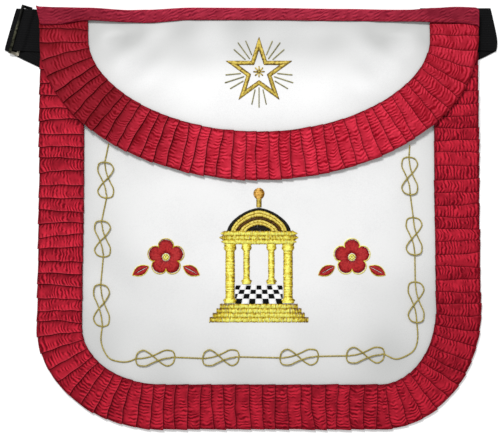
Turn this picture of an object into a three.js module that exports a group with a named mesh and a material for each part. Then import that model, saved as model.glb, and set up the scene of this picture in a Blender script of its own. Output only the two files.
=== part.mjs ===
import * as THREE from "three";

// A pleated apron that lies flat and face up, with its belt folded behind it.
// Millimetres: X runs across the apron, Y towards its waist, Z up from the surface it lies on.

// Cloth, ribbon and webbing
const panelWall = 1.2;
const ribbonWall = 1.0;
const strapWall = 1.0;
const clearance = 0.35;
const stitchHeight = 0.8;

// Body of the apron
const bodyHeight = 376;
const topHalfWidth = 196;
const lowHalfWidth = 200;
const leftCornerWide = 112;
const leftCornerDeep = 92;
const rightCornerWide = 90;
const rightCornerDeep = 108;

// Flap that hangs from the waist
const flapHalfWidth = 196.5;
const flapStraight = 25;
const flapDrop = 126;

// Knife-pleated borders
const bodyRibbonWidth = 40;
const flapRibbonWidth = 43;
const bodyPleatPitch = 11.3;
const flapPleatPitch = 10.9;
const pleatRise = 1.0;
const pleatStep = 0.45;
const pleatOutset = 0.6;
const ribbonOverhang = 2;

// How the cloth settles over what lies under it
const settleLength = 58;
const settleMargin = 3;
const dropMargin = 5;

// Waistband
const bandHeight = 12;
const bandBackHeight = 14;
const bandWave = 2.4;
const bandLeftOverhang = 4;
const bandRightOverhang = 1;

// Belt
const strapWidth = 38;
const strapBelowWaist = 15;
const stubLength = 66;
const beltSag = 52;
const leftRiseAngle = 3;
const leftFoldSlant = 16;
const rightRiseAngle = 0;
const rightFoldSlant = 12.5;
const rightFoldReach = 15.5;

// Slide on the left strap
const slideBar = 2.6;
const slideWindow = 4.5;
const slideWall = 1.2;
const slideInset = 4;
const slideApproach = 4.5;

// Clasp behind the apron
const claspLength = 36;
const claspWidth = 42;
const claspWeb = 12;
const claspRamp = 26;

// Star on the flap
const starRadius = 31;
const starStroke = 3;
const starAboveRibbon = 54;

// Temple on the body
const templeWidth = 89;
const templeHeight = 121;
const templeBelowFlap = 7.5;

// Flower motifs on both sides of the temple
const rosetteRadius = 17;
const rosetteOffset = 84;
const rosetteBelowFlap = 70;
const leafLength = 17;
const leafWidth = 9;
const leafDroop = 28;

const waistY = bodyHeight / 2;
const hemY = -bodyHeight / 2;
const flapCurveY = waistY - flapStraight;
const flapLowY = flapCurveY - flapDrop;

// Levels of the layers, from the surface upwards
const strapLow = strapWall / 2;
const strapHigh = strapLow + strapWall + clearance;
const bandBackLevel = 2 * (strapWall + clearance);
const beltLift = bandBackLevel + ribbonWall + clearance;
const borderLift = ribbonWall + pleatRise + clearance;

// The waistband's edge, from left to right: across as a share of the half width,
// rise as a share of the wave, deep as a share of the band's height
const bandStations = [
  { across: -1.03, rise: 1.0, deep: 1.3 },
  { across: -0.93, rise: 0.9, deep: 1.3 },
  { across: -0.79, rise: 0.7, deep: 0.97 },
  { across: -0.6, rise: 0.0, deep: 0.95 },
  { across: -0.52, rise: 0.2, deep: 1.02 },
  { across: -0.31, rise: 1.0, deep: 0.96 },
  { across: 0.0, rise: 0.9, deep: 0.94 },
  { across: 0.4, rise: 0.5, deep: 0.93 },
  { across: 0.69, rise: 0.0, deep: 0.91 },
  { across: 0.8, rise: 0.6, deep: 1.08 },
  { across: 0.9, rise: 1.0, deep: 1.2 },
  { across: 1.03, rise: 0.7, deep: 1.35 },
];

// The temple's nested arches, outermost first, as shares of the outer arch
const templeArches = [
  { name: "black", wide: 1.0, high: 1.0, colour: 0x15130f },
  { name: "gold", wide: 0.82, high: 0.79, colour: 0xb08a2c },
  { name: "brown", wide: 0.67, high: 0.61, colour: 0x3a2410 },
  { name: "inner", wide: 0.52, high: 0.45, colour: 0xb08a2c },
  { name: "shade", wide: 0.34, high: 0.28, colour: 0x15130f },
];

// The temple's columns: aside and the three halves as shares of its half width, foot as a share of its height
const templeColumns = [
  { name: "outer_left", aside: -0.595, foot: 0.14, base: 0.133, shaft: 0.094, capital: 0.133 },
  { name: "inner_left", aside: -0.252, foot: 0.283, base: 0.102, shaft: 0.075, capital: 0.112 },
  { name: "inner_right", aside: 0.252, foot: 0.283, base: 0.102, shaft: 0.075, capital: 0.112 },
  { name: "outer_right", aside: 0.595, foot: 0.14, base: 0.133, shaft: 0.094, capital: 0.133 },
];

// Levels of the temple as shares of its height
const stepsTop = 0.133;
const floorTop = 0.272;
const baseTall = 0.045;
const capitalLow = 0.53;
const capitalTop = 0.582;
const domeLow = 0.682;
const domeTop = 0.855;
const ballMiddle = 0.958;

const leafColour = 0xa61c2c;
const goldColour = 0xb08a2c;
const redColour = 0x9c1b32;
const whiteColour = 0xeeeef0;
const blackColour = 0x17171a;
const steelColour = 0xb9bbbe;

const degrees = Math.PI / 180;
const clamp = (value) => Math.min(1, Math.max(0, value));
const lerp = (from, to, share) => from + (to - from) * share;

// Rises from 0 to 1 with level ends
function ease(value) {
  const share = clamp(value);
  return share * share * (3 - 2 * share);
}

// A value of a table's column, eased between its rows
function along(table, key, column, place) {
  const next = Math.max(1, table.findIndex((row) => row[key] >= place));
  const before = table[next - 1];
  const after = table[next];
  return lerp(before[column], after[column], ease((place - before[key]) / (after[key] - before[key])));
}

// Lift of the body panel over the belt that lies behind it
const dropLowY = flapLowY - dropMargin;
const dropHighY = waistY - strapBelowWaist - beltSag - strapWidth / 2 - dropMargin;
const bodyLevel = (y) => beltLift * ease((y - dropLowY) / (dropHighY - dropLowY));

// Share of the rise that the flap has made, on its way out over the body's border
const settleEnd = topHalfWidth - bodyRibbonWidth - settleMargin;
const overBorder = (x) => ease((Math.abs(x) - settleEnd + settleLength) / settleLength);

// Undersides of the layers on top of the body panel
const bodyBorderLevel = (x, y) => bodyLevel(y) + panelWall + clearance;
const flapLevel = (x, y) => bodyBorderLevel(x, y) + borderLift * overBorder(x);
const flapBorderLevel = (x, y) => flapLevel(x, y) + panelWall + clearance;
const bandFrontLevel = (x) => flapBorderLevel(x, waistY) + borderLift * overBorder(x);

const apron = new THREE.Group();

function addPiece(name, geometry, colour, roughness = 0.8, metalness = 0) {
  const material = new THREE.MeshStandardMaterial({ color: colour, roughness, metalness });
  const mesh = new THREE.Mesh(geometry, material);
  mesh.name = name;
  apron.add(mesh);
  return mesh;
}

// Volume inside a closed mesh, negative when its faces point inwards
function signedVolume(points, triangles) {
  const cross = new THREE.Vector3();
  return triangles.reduce((sum, [a, b, c]) => {
    cross.crossVectors(points[b], points[c]);
    return sum + points[a].dot(cross) / 6;
  }, 0);
}

// One closed solid from the two faces of a sheet, each a grid of points [station][column]
function sheetSolid(front, back) {
  const rows = front.length;
  const columns = front[0].length;
  const points = [...front.flat(), ...back.flat()];
  const at = (side, row, column) => (side * rows + row) * columns + column;
  const triangles = [];
  const quad = (a, b, c, d) => triangles.push([a, b, c], [a, c, d]);
  for (let row = 0; row < rows - 1; row += 1) {
    for (let column = 0; column < columns - 1; column += 1) {
      const corners = [[row, column], [row, column + 1], [row + 1, column + 1], [row + 1, column]];
      quad(...corners.map(([r, c]) => at(0, r, c)));
      quad(...corners.reverse().map(([r, c]) => at(1, r, c)));
    }
    const last = columns - 1;
    quad(at(0, row, 0), at(0, row + 1, 0), at(1, row + 1, 0), at(1, row, 0));
    quad(at(0, row + 1, last), at(0, row, last), at(1, row, last), at(1, row + 1, last));
  }
  for (let column = 0; column < columns - 1; column += 1) {
    const last = rows - 1;
    quad(at(0, 0, column + 1), at(0, 0, column), at(1, 0, column), at(1, 0, column + 1));
    quad(at(0, last, column), at(0, last, column + 1), at(1, last, column + 1), at(1, last, column));
  }
  const inward = signedVolume(points, triangles) < 0;
  const geometry = new THREE.BufferGeometry().setFromPoints(points);
  geometry.setIndex(triangles.flatMap(([a, b, c]) => (inward ? [a, c, b] : [a, b, c])));
  geometry.computeVertexNormals();
  return geometry;
}

const spread = (count, make) => Array.from({ length: count + 1 }, (_, index) => make(index / count));

// X of the body's side at a height, drawn in from the ribbon's outer edge
function bodySideX(side, y, inset) {
  const wide = side < 0 ? leftCornerWide : rightCornerWide;
  const deep = side < 0 ? leftCornerDeep : rightCornerDeep;
  const cornerY = hemY + deep;
  if (y >= cornerY) {
    const share = (y - cornerY) / (waistY - cornerY);
    return side * (lerp(lowHalfWidth, topHalfWidth, share) - inset);
  }
  const fall = Math.min(1, (cornerY - y) / (deep - inset));
  return side * (lowHalfWidth - wide + (wide - inset) * Math.sqrt(1 - fall * fall));
}

// Rows of a panel: a rounded foot in even angles, then even steps up to the waist
function panelRows(footDeep, lowY, firstAngle, curved, straight) {
  const foot = spread(curved, (share) => {
    const angle = lerp(firstAngle, 90, share) * degrees;
    return { y: lowY + footDeep * (1 - Math.cos(angle)), share: Math.sin(angle) };
  });
  const top = foot[curved].y;
  const upper = spread(straight, (share) => ({ y: lerp(top, waistY, share), share: 1 }));
  return [...foot, ...upper.slice(1)];
}

function bodyPanel() {
  const deep = Math.max(leftCornerDeep, rightCornerDeep) - ribbonOverhang;
  const rows = panelRows(deep, hemY + ribbonOverhang, 0, 12, 26);
  const face = (height) => rows.map(({ y }) => [-1, 1].map(
    (side) => new THREE.Vector3(bodySideX(side, y, ribbonOverhang), y, bodyLevel(y) + height),
  ));
  return sheetSolid(face(panelWall), face(0));
}

function flapPanel() {
  const columns = 30;
  const rows = panelRows(flapDrop - ribbonOverhang, flapLowY + ribbonOverhang, 3, 15, 2);
  const face = (height) => rows.map(({ y, share }) => spread(columns, (across) => {
    const x = lerp(-1, 1, across) * share * (flapHalfWidth - ribbonOverhang);
    return new THREE.Vector3(x, y, flapLevel(x, y) + height);
  }));
  return sheetSolid(face(panelWall), face(0));
}

// Outer edge of the body's ribbon, from the left end of the waist down and round to the right end
function bodyEdge() {
  const point = (x, y) => new THREE.Vector2(x, y);
  const leftX = leftCornerWide - lowHalfWidth;
  const leftY = hemY + leftCornerDeep;
  const rightX = lowHalfWidth - rightCornerWide;
  const rightY = hemY + rightCornerDeep;
  const path = new THREE.CurvePath();
  path.add(new THREE.LineCurve(point(-topHalfWidth, waistY), point(-lowHalfWidth, leftY)));
  path.add(new THREE.EllipseCurve(leftX, leftY, leftCornerWide, leftCornerDeep, Math.PI, 1.5 * Math.PI));
  path.add(new THREE.LineCurve(point(leftX, hemY), point(rightX, hemY)));
  path.add(new THREE.EllipseCurve(rightX, rightY, rightCornerWide, rightCornerDeep, 1.5 * Math.PI, 2 * Math.PI));
  path.add(new THREE.LineCurve(point(lowHalfWidth, rightY), point(topHalfWidth, waistY)));
  return path;
}

// Outer edge of the flap's ribbon, in the same direction
function flapEdge() {
  const point = (side, y) => new THREE.Vector2(side * flapHalfWidth, y);
  const path = new THREE.CurvePath();
  path.add(new THREE.LineCurve(point(-1, waistY), point(-1, flapCurveY)));
  path.add(new THREE.EllipseCurve(0, flapCurveY, flapHalfWidth, flapDrop, Math.PI, 2 * Math.PI));
  path.add(new THREE.LineCurve(point(1, flapCurveY), point(1, waistY)));
  return path;
}

// A knife-pleated ribbon laid inwards from its outer edge. Each pleat thickens along the path
// to its free edge and then steps down to the next one. Pleats are evenly spaced along the middle.
function pleatedBorder(path, width, pitch, columns, level) {
  const samples = 1200;
  const crossing = (share) => {
    const edge = path.getPoint(share);
    const along = path.getTangent(share);
    return { edge, inward: new THREE.Vector2(-along.y, along.x) };
  };
  const middles = spread(samples, (share) => {
    const { edge, inward } = crossing(share);
    return edge.addScaledVector(inward, width / 2);
  });
  const travelled = [0];
  middles.slice(1).forEach((middle, index) => {
    travelled.push(travelled[index] + middle.distanceTo(middles[index]));
  });
  const shareAt = (distance) => {
    const next = Math.max(1, travelled.findIndex((length) => length >= distance - 1e-6));
    const step = (distance - travelled[next - 1]) / (travelled[next] - travelled[next - 1]);
    return clamp((next - 1 + step) / samples);
  };
  const total = travelled[samples];
  const pleats = Math.round(total / pitch);
  const stations = Array.from({ length: pleats }, (_, pleat) => [
    { distance: (total * pleat) / pleats + (pleat ? pleatStep : 0), lift: 0 },
    { distance: (total * (pleat + 1)) / pleats, lift: 1 },
  ]).flat();
  const face = (thick) => stations.map(({ distance, lift }) => {
    const { edge, inward } = crossing(shareAt(distance));
    return spread(columns, (across) => {
      const reach = lerp(-lift * pleatOutset, width + lift * pleatOutset, across);
      const place = edge.clone().addScaledVector(inward, reach);
      const height = thick * (ribbonWall + lift * pleatRise);
      return new THREE.Vector3(place.x, place.y, level(place.x, place.y) + height);
    });
  });
  return sheetSolid(face(1), face(0));
}

// The waistband's ribbon, folded over the top edges of both panels
function waistband() {
  const left = -topHalfWidth - bandLeftOverhang;
  const right = topHalfWidth + bandRightOverhang;
  const stations = spread(32, (share) => {
    const x = lerp(left, right, share);
    const across = x / topHalfWidth;
    const top = waistY + clearance + bandWave * along(bandStations, "across", "rise", across);
    const deep = bandHeight * along(bandStations, "across", "deep", across);
    return { x, top, low: top + ribbonWall - deep, front: bandFrontLevel(x) };
  });
  const backLow = waistY - bandBackHeight;
  const outer = stations.map(({ x, top, low, front }) => [
    new THREE.Vector3(x, backLow, bandBackLevel),
    new THREE.Vector3(x, top + ribbonWall, bandBackLevel),
    new THREE.Vector3(x, top + ribbonWall, front + ribbonWall),
    new THREE.Vector3(x, low, front + ribbonWall),
  ]);
  const inner = stations.map(({ x, top, low, front }) => [
    new THREE.Vector3(x, backLow, bandBackLevel + ribbonWall),
    new THREE.Vector3(x, top, bandBackLevel + ribbonWall),
    new THREE.Vector3(x, top, front),
    new THREE.Vector3(x, low, front),
  ]);
  return sheetSolid(outer, inner);
}

// Where a strap folds: its slanted fold line, the way out across it, and its outermost middle point
function strapFold(riseAngle, foldSlant, reach) {
  const rise = riseAngle * degrees;
  const slant = foldSlant * degrees;
  const travel = new THREE.Vector2(Math.cos(rise), Math.sin(rise));
  const line = new THREE.Vector2(-Math.sin(slant), Math.cos(slant));
  const outward = new THREE.Vector2(Math.cos(slant), Math.sin(slant));
  const halfCut = strapWidth / 2 / Math.cos(slant - rise);
  const tip = new THREE.Vector2(topHalfWidth + reach, waistY - strapBelowWaist);
  return { rise, slant, travel, line, outward, halfCut, tip };
}

const slideSpan = 2 * slideBar + slideWindow;

// The left fold stands out far enough for the slide to clear the waistband's end
const leftCut = strapFold(leftRiseAngle, leftFoldSlant, 0);
const leftFoldReach = bandLeftOverhang + leftCut.halfCut * Math.sin(leftCut.slant)
  + (slideInset + slideSpan + slideApproach + strapWall) * Math.cos(leftCut.slant) + clearance;
const leftFold = strapFold(leftRiseAngle, leftFoldSlant, leftFoldReach);
const rightFold = strapFold(rightRiseAngle, rightFoldSlant, rightFoldReach);

const claspY = waistY - strapBelowWaist - beltSag;

// Half of the belt: from its sewn end out to the fold, round it and back to the clasp.
// The fold is a half turn about the fold line, so the strap slips along that line as it turns.
function beltHalf(side, fold, lifts) {
  const bend = (strapHigh - strapLow) / 2;
  const start = fold.tip.clone().addScaledVector(fold.outward, -bend);
  const slip = Math.tan(fold.rise - fold.slant);
  const up = new THREE.Vector3(0, 0, 1);
  const cut = fold.line.clone().multiplyScalar(fold.halfCut);
  const stations = [];
  const addStation = (middle, half, level, normal) => stations.push({ middle, half, level, normal });

  const across = new THREE.Vector2(-fold.travel.y, fold.travel.x).multiplyScalar(strapWidth / 2);
  addStation(start.clone().addScaledVector(fold.travel, -stubLength), across, strapHigh, up);
  lifts.forEach(({ back, lift }) => {
    const middle = start.clone().addScaledVector(fold.travel, (bend - back) / Math.cos(fold.slant - fold.rise));
    addStation(middle, cut, strapHigh + lift, up);
  });

  const bendSteps = 6;
  spread(bendSteps, (share) => {
    const angle = share * Math.PI;
    const middle = start.clone().addScaledVector(fold.outward, bend * Math.sin(angle));
    middle.addScaledVector(fold.line, bend * angle * slip);
    const normal = new THREE.Vector3(
      fold.outward.x * Math.sin(angle), fold.outward.y * Math.sin(angle), Math.cos(angle),
    );
    addStation(middle, cut, strapLow + bend * (1 + Math.cos(angle)), normal);
  });

  const leave = stations[stations.length - 1].middle;
  const homeAngle = Math.PI + 2 * fold.slant - fold.rise;
  const home = new THREE.Vector2(Math.cos(homeAngle), Math.sin(homeAngle));
  const end = new THREE.Vector2(claspWeb / 2 + clearance, claspY);
  const pull = leave.distanceTo(end) * 0.36;
  const inner = new THREE.Vector2(end.x + pull, end.y);
  const run = new THREE.CubicBezierCurve(leave, leave.clone().addScaledVector(home, pull), inner, end);
  const runLength = run.getLength();
  const leadIn = strapWidth * Math.tan(fold.slant);
  spread(14, (share) => {
    const distance = lerp(leadIn, runLength, share);
    const middle = run.getPointAt(distance / runLength);
    const way = run.getTangentAt(distance / runLength);
    const half = new THREE.Vector2(way.y, -way.x).multiplyScalar(strapWidth / 2);
    const rise = ease((distance - runLength + claspRamp + claspLength / 2) / claspRamp);
    addStation(middle, half, lerp(strapLow, strapHigh, rise), up.clone().negate());
  });

  const face = (shift) => stations.map(({ middle, half, level, normal }) => [-1, 1].map((edge) => {
    const plan = middle.clone().addScaledVector(half, edge);
    const place = new THREE.Vector3(plan.x, plan.y, level).addScaledVector(normal, shift * strapWall);
    place.x *= side;
    return place;
  }));
  return sheetSolid(face(0.5), face(-0.5));
}

// The left strap dips under the slide's outer bar and rides over its inner bar
const barLift = slideWall + clearance;
const outerBarBack = slideInset;
const innerBarBack = slideInset + slideBar + slideWindow;
const slideEase = 0.5;
const slideLifts = [
  { back: innerBarBack + slideBar + slideApproach, lift: 0 },
  { back: innerBarBack + slideBar + slideEase, lift: barLift },
  { back: innerBarBack - slideEase, lift: barLift },
  { back: outerBarBack + slideBar + slideEase, lift: 0 },
];

// A flat metal frame whose inner bar lies lower than its outer one. The strap crosses it askew,
// so the frame is centred where the strap passes its middle, with room for the strap's drift.
function beltSlide() {
  const drift = Math.tan(leftFold.slant - leftFold.rise);
  const halfLength = leftFold.halfCut + (drift * slideSpan) / 2 + clearance + slideBar;
  const centreUp = drift * (slideInset + slideSpan / 2);
  const backs = [outerBarBack, outerBarBack + slideBar, innerBarBack, innerBarBack + slideBar];
  const outline = new THREE.Shape([
    ...backs.map((back) => new THREE.Vector2(-back, halfLength)),
    ...backs.toReversed().map((back) => new THREE.Vector2(-back, -halfLength)),
  ]);
  const windowHalf = halfLength - slideBar;
  outline.holes.push(new THREE.Path([
    new THREE.Vector2(-backs[1], windowHalf),
    new THREE.Vector2(-backs[2], windowHalf),
    new THREE.Vector2(-backs[2], -windowHalf),
    new THREE.Vector2(-backs[1], -windowHalf),
  ]));
  const geometry = new THREE.ExtrudeGeometry(outline, { depth: slideWall, bevelEnabled: false });
  const places = geometry.getAttribute("position");
  const outerLevel = strapHigh + strapWall / 2 + clearance;
  const innerLevel = strapLow + strapWall / 2 + clearance;
  for (let index = 0; index < places.count; index += 1) {
    const share = clamp((-places.getX(index) - backs[1]) / (backs[2] - backs[1]));
    const plan = leftFold.tip.clone();
    plan.addScaledVector(leftFold.outward, places.getX(index));
    plan.addScaledVector(leftFold.line, places.getY(index) + centreUp);
    places.setXYZ(index, -plan.x, plan.y, places.getZ(index) + lerp(outerLevel, innerLevel, share));
  }
  const turned = [...Array(places.count / 3).keys()].flatMap((face) => [3 * face, 3 * face + 2, 3 * face + 1]);
  geometry.setIndex(turned);
  geometry.computeVertexNormals();
  return geometry;
}

// A plain clasp: two plates and a web, with a pocket for each strap's end
function beltClasp() {
  const half = claspLength / 2;
  const web = claspWeb / 2;
  const low = strapHigh - strapWall / 2 - clearance;
  const high = strapHigh + strapWall / 2 + clearance;
  const top = beltLift - clearance;
  const outline = new THREE.Shape([
    new THREE.Vector2(-half, 0), new THREE.Vector2(half, 0), new THREE.Vector2(half, low),
    new THREE.Vector2(web, low), new THREE.Vector2(web, high), new THREE.Vector2(half, high),
    new THREE.Vector2(half, top), new THREE.Vector2(-half, top), new THREE.Vector2(-half, high),
    new THREE.Vector2(-web, high), new THREE.Vector2(-web, low), new THREE.Vector2(-half, low),
  ]);
  const geometry = new THREE.ExtrudeGeometry(outline, { depth: claspWidth, bevelEnabled: false });
  geometry.rotateX(Math.PI / 2);
  geometry.translate(0, claspY + claspWidth / 2, 0);
  return geometry;
}

// Raised embroidery: a flat outline as thick as its stitches
function embroider(outline) {
  return new THREE.ExtrudeGeometry(outline, { depth: stitchHeight, bevelEnabled: false, curveSegments: 14 });
}

function starPoints(radius) {
  const waist = (radius * Math.cos(72 * degrees)) / Math.cos(36 * degrees);
  return Array.from({ length: 10 }, (_, corner) => {
    const angle = (90 + 36 * corner) * degrees;
    const reach = corner % 2 ? waist : radius;
    return new THREE.Vector2(reach * Math.cos(angle), reach * Math.sin(angle));
  });
}

function starOutline() {
  const outline = new THREE.Shape(starPoints(starRadius));
  const holeRadius = starRadius - starStroke / Math.cos(72 * degrees);
  outline.holes.push(new THREE.Path(starPoints(holeRadius).reverse()));
  return outline;
}

// Five rounded petals round one middle
function rosetteOutline() {
  const petals = 5;
  return new THREE.Shape(Array.from({ length: petals * 10 }, (_, index) => {
    const angle = (index / (petals * 10)) * 2 * Math.PI + 90 * degrees;
    const lobe = Math.abs(Math.cos((petals * (angle - 90 * degrees)) / 2));
    const reach = rosetteRadius * (0.62 + 0.38 * Math.sqrt(lobe));
    return new THREE.Vector2(reach * Math.cos(angle), reach * Math.sin(angle));
  }));
}

function leafOutline() {
  const outline = new THREE.Shape();
  outline.moveTo(0, 0);
  outline.quadraticCurveTo(leafLength / 2, leafWidth, leafLength, 0);
  outline.quadraticCurveTo(leafLength / 2, -leafWidth, 0, 0);
  return outline;
}

const templeHalf = templeWidth / 2;
const templeY = flapLowY - templeBelowFlap - templeHeight;
const templeRise = (share) => share * templeHeight;

// Half of an ellipse, or the band between two of them
function archOutline(outer, inner) {
  const outline = new THREE.Shape();
  outline.absellipse(0, 0, outer.wide, outer.high, 0, Math.PI);
  if (inner) {
    outline.lineTo(-inner.wide, 0);
    outline.absellipse(0, 0, inner.wide, inner.high, Math.PI, 0, true);
  }
  outline.closePath();
  return outline;
}

function addTemple(place) {
  const finial = new THREE.Shape();
  const ballRadius = templeRise(1 - ballMiddle);
  const neckHalf = ballRadius / 2;
  const neckAngle = Math.asin(neckHalf / ballRadius);
  const neckLow = templeRise(domeTop) + clearance;
  finial.absarc(0, templeRise(ballMiddle), ballRadius, neckAngle - Math.PI / 2, 1.5 * Math.PI - neckAngle);
  finial.lineTo(-neckHalf, neckLow);
  finial.lineTo(neckHalf, neckLow);
  finial.closePath();
  place("temple_finial", finial, goldColour);

  const domeHalf = templeHalf * 0.65;
  const domeHigh = templeRise(domeTop - domeLow);
  templeArches.forEach(({ name, wide, high, colour }, index) => {
    const next = templeArches[index + 1];
    const outer = { wide: wide * domeHalf, high: high * domeHigh };
    const inner = next && {
      wide: next.wide * domeHalf + clearance,
      high: next.high * domeHigh + clearance,
    };
    place(`temple_arch_${name}`, archOutline(outer, inner), colour, templeRise(domeLow) + clearance);
  });

  const lintelLow = templeRise(capitalTop) + clearance;
  const lintelTop = templeRise(domeLow);
  const lintelHalf = templeHalf * 0.8;
  const notch = templeHalf * 0.04;
  place("temple_entablature", new THREE.Shape([
    new THREE.Vector2(-lintelHalf + notch, lintelLow), new THREE.Vector2(lintelHalf - notch, lintelLow),
    new THREE.Vector2(lintelHalf - 2 * notch, (lintelLow + lintelTop) / 2),
    new THREE.Vector2(lintelHalf, lintelTop), new THREE.Vector2(-lintelHalf, lintelTop),
    new THREE.Vector2(-lintelHalf + 2 * notch, (lintelLow + lintelTop) / 2),
  ]), goldColour);

  templeColumns.forEach(({ name, aside, foot, base, shaft, capital }) => {
    const levels = [
      [base, foot], [base, foot + baseTall], [shaft, foot + baseTall],
      [shaft, capitalLow], [capital, capitalLow], [capital, capitalTop],
    ];
    const side = (sign) => levels.map(([half, level]) => new THREE.Vector2(
      (aside + sign * half) * templeHalf, templeRise(level),
    ));
    place(`temple_column_${name}`, new THREE.Shape([...side(1), ...side(-1).reverse()]), goldColour);
  });

  const outerColumn = templeColumns[3];
  const floorHalf = (outerColumn.aside - outerColumn.base) * templeHalf - clearance;
  const floorLow = templeRise(stepsTop) + clearance;
  place("temple_floor", new THREE.Shape([
    new THREE.Vector2(-floorHalf, floorLow), new THREE.Vector2(floorHalf, floorLow),
    new THREE.Vector2(floorHalf, templeRise(floorTop)), new THREE.Vector2(-floorHalf, templeRise(floorTop)),
  ]), blackColour);

  const steps = 4;
  const tread = templeHalf * 0.08;
  const climb = (sign) => Array.from({ length: steps }, (_, step) => {
    const x = sign * (templeHalf - step * tread);
    return [
      new THREE.Vector2(x, templeRise((stepsTop * step) / steps)),
      new THREE.Vector2(x, templeRise((stepsTop * (step + 1)) / steps)),
    ];
  }).flat();
  place("temple_steps", new THREE.Shape([...climb(1), ...climb(-1).reverse()]), goldColour);
}

addPiece("body_panel", bodyPanel(), whiteColour, 0.7);
addPiece("body_border", pleatedBorder(bodyEdge(), bodyRibbonWidth, bodyPleatPitch, 1, bodyBorderLevel), redColour, 0.6);
addPiece("flap_panel", flapPanel(), whiteColour, 0.7);
addPiece("flap_border", pleatedBorder(flapEdge(), flapRibbonWidth, flapPleatPitch, 3, flapBorderLevel), redColour, 0.6);
addPiece("waistband", waistband(), redColour, 0.6);
addPiece("belt_left", beltHalf(-1, leftFold, slideLifts), blackColour);
addPiece("belt_right", beltHalf(1, rightFold, []), blackColour);
addPiece("belt_slide", beltSlide(), steelColour, 0.3, 1);
addPiece("belt_clasp", beltClasp(), steelColour, 0.4, 1);

const flapInnerLowY = flapLowY + flapRibbonWidth;
const starY = flapInnerLowY + starAboveRibbon;
addPiece("star_embroidery", embroider(starOutline()), goldColour, 0.4, 0.6)
  .position.set(0, starY, flapLevel(0, starY) + panelWall + clearance);

const stitchedLevel = bodyLevel(templeY) + panelWall + clearance;
addTemple((name, outline, colour, rise = 0) => {
  addPiece(name, embroider(outline), colour, 0.5, 0.4).position.set(0, templeY + rise, stitchedLevel);
});

// Each flower stands between two leaves
[["left", -1], ["right", 1]].forEach(([name, side]) => {
  const rosetteY = flapLowY - rosetteBelowFlap;
  const rosette = addPiece(`rosette_${name}`, embroider(rosetteOutline()), leafColour, 0.6);
  rosette.position.set(side * rosetteOffset, rosetteY, stitchedLevel);
  [["outer", side], ["inner", -side]].forEach(([end, way]) => {
    const leaf = addPiece(`leaf_${name}_${end}`, embroider(leafOutline()), leafColour, 0.6);
    const angle = -leafDroop * degrees;
    const reach = rosetteRadius + clearance;
    leaf.rotation.z = way > 0 ? angle : Math.PI - angle;
    leaf.position.set(way * reach * Math.cos(angle), reach * Math.sin(angle), 0).add(rosette.position);
  });
});

// The origin is under the middle of the whole, on the surface it lies on
apron.updateMatrixWorld(true);
const box = new THREE.Box3().setFromObject(apron, true);
const middle = box.getCenter(new THREE.Vector3());
apron.position.set(-middle.x, -middle.y, -box.min.z);

export default apron;
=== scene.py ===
"""A pleated lodge apron that lies face up with its belt folded behind it.

Every shape is worked out in millimetres in the apron's own frame: X across, Y towards the waist
with the middle of the apron's height at 0, and Z up from the surface that it lies on.
piece() turns those millimetres into the shared frame's metres.
"""

import math

import bmesh
import bpy
import numpy as np
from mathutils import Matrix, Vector


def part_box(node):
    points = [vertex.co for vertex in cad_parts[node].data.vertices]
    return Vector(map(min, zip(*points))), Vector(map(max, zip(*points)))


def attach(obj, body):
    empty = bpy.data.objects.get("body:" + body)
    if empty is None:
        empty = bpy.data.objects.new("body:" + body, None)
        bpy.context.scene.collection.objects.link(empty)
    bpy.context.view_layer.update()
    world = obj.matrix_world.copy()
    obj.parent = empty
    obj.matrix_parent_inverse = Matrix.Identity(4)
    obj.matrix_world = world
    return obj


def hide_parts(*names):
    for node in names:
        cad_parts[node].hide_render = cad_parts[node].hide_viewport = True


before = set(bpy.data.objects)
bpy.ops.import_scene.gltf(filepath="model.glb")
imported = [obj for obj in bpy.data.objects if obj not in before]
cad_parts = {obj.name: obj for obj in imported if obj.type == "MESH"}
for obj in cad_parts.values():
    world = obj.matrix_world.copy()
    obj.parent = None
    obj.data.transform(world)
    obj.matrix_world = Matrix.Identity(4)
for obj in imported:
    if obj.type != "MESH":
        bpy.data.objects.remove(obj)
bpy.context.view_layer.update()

# Cloth, ribbon and webbing
PANEL_WALL = 1.2
RIBBON_WALL = 1.0
STRAP_WALL = 1.0
CLEARANCE = 0.35
STITCH_HEIGHT = 0.8

# Body of the apron
BODY_HEIGHT = 376.0
TOP_HALF_WIDTH = 196.0
LOW_HALF_WIDTH = 200.0
LEFT_CORNER_WIDE = 112.0
LEFT_CORNER_DEEP = 92.0
RIGHT_CORNER_WIDE = 90.0
RIGHT_CORNER_DEEP = 108.0

# Flap that hangs from the waist
FLAP_HALF_WIDTH = 196.5
FLAP_STRAIGHT = 25.0
FLAP_DROP = 126.0

# Knife-pleated borders
BODY_RIBBON_WIDTH = 40.0
FLAP_RIBBON_WIDTH = 43.0
BODY_PLEAT_PITCH = 11.3
FLAP_PLEAT_PITCH = 10.9
PLEAT_RISE = 1.0
RIBBON_OVERHANG = 2.0

# How the cloth settles over what lies under it
SETTLE_LENGTH = 58.0
SETTLE_MARGIN = 3.0
DROP_MARGIN = 5.0

# Waistband
BAND_HEIGHT = 12.0
BAND_BACK_HEIGHT = 14.0
BAND_WAVE = 2.4
BAND_LEFT_OVERHANG = 4.0
BAND_RIGHT_OVERHANG = 1.0

# Belt and its slide
STRAP_WIDTH = 38.0
STRAP_BELOW_WAIST = 15.0
STUB_LENGTH = 66.0
BELT_SAG = 52.0
LEFT_RISE_ANGLE = 3.0
LEFT_FOLD_SLANT = 16.0
RIGHT_RISE_ANGLE = 0.0
RIGHT_FOLD_SLANT = 12.5
RIGHT_FOLD_REACH = 15.5
SLIDE_BAR = 2.6
SLIDE_WINDOW = 4.5
SLIDE_WALL = 1.2
SLIDE_INSET = 4.0
SLIDE_APPROACH = 4.5
CLASP_LENGTH = 36.0
CLASP_WEB = 12.0
CLASP_RAMP = 26.0

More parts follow.
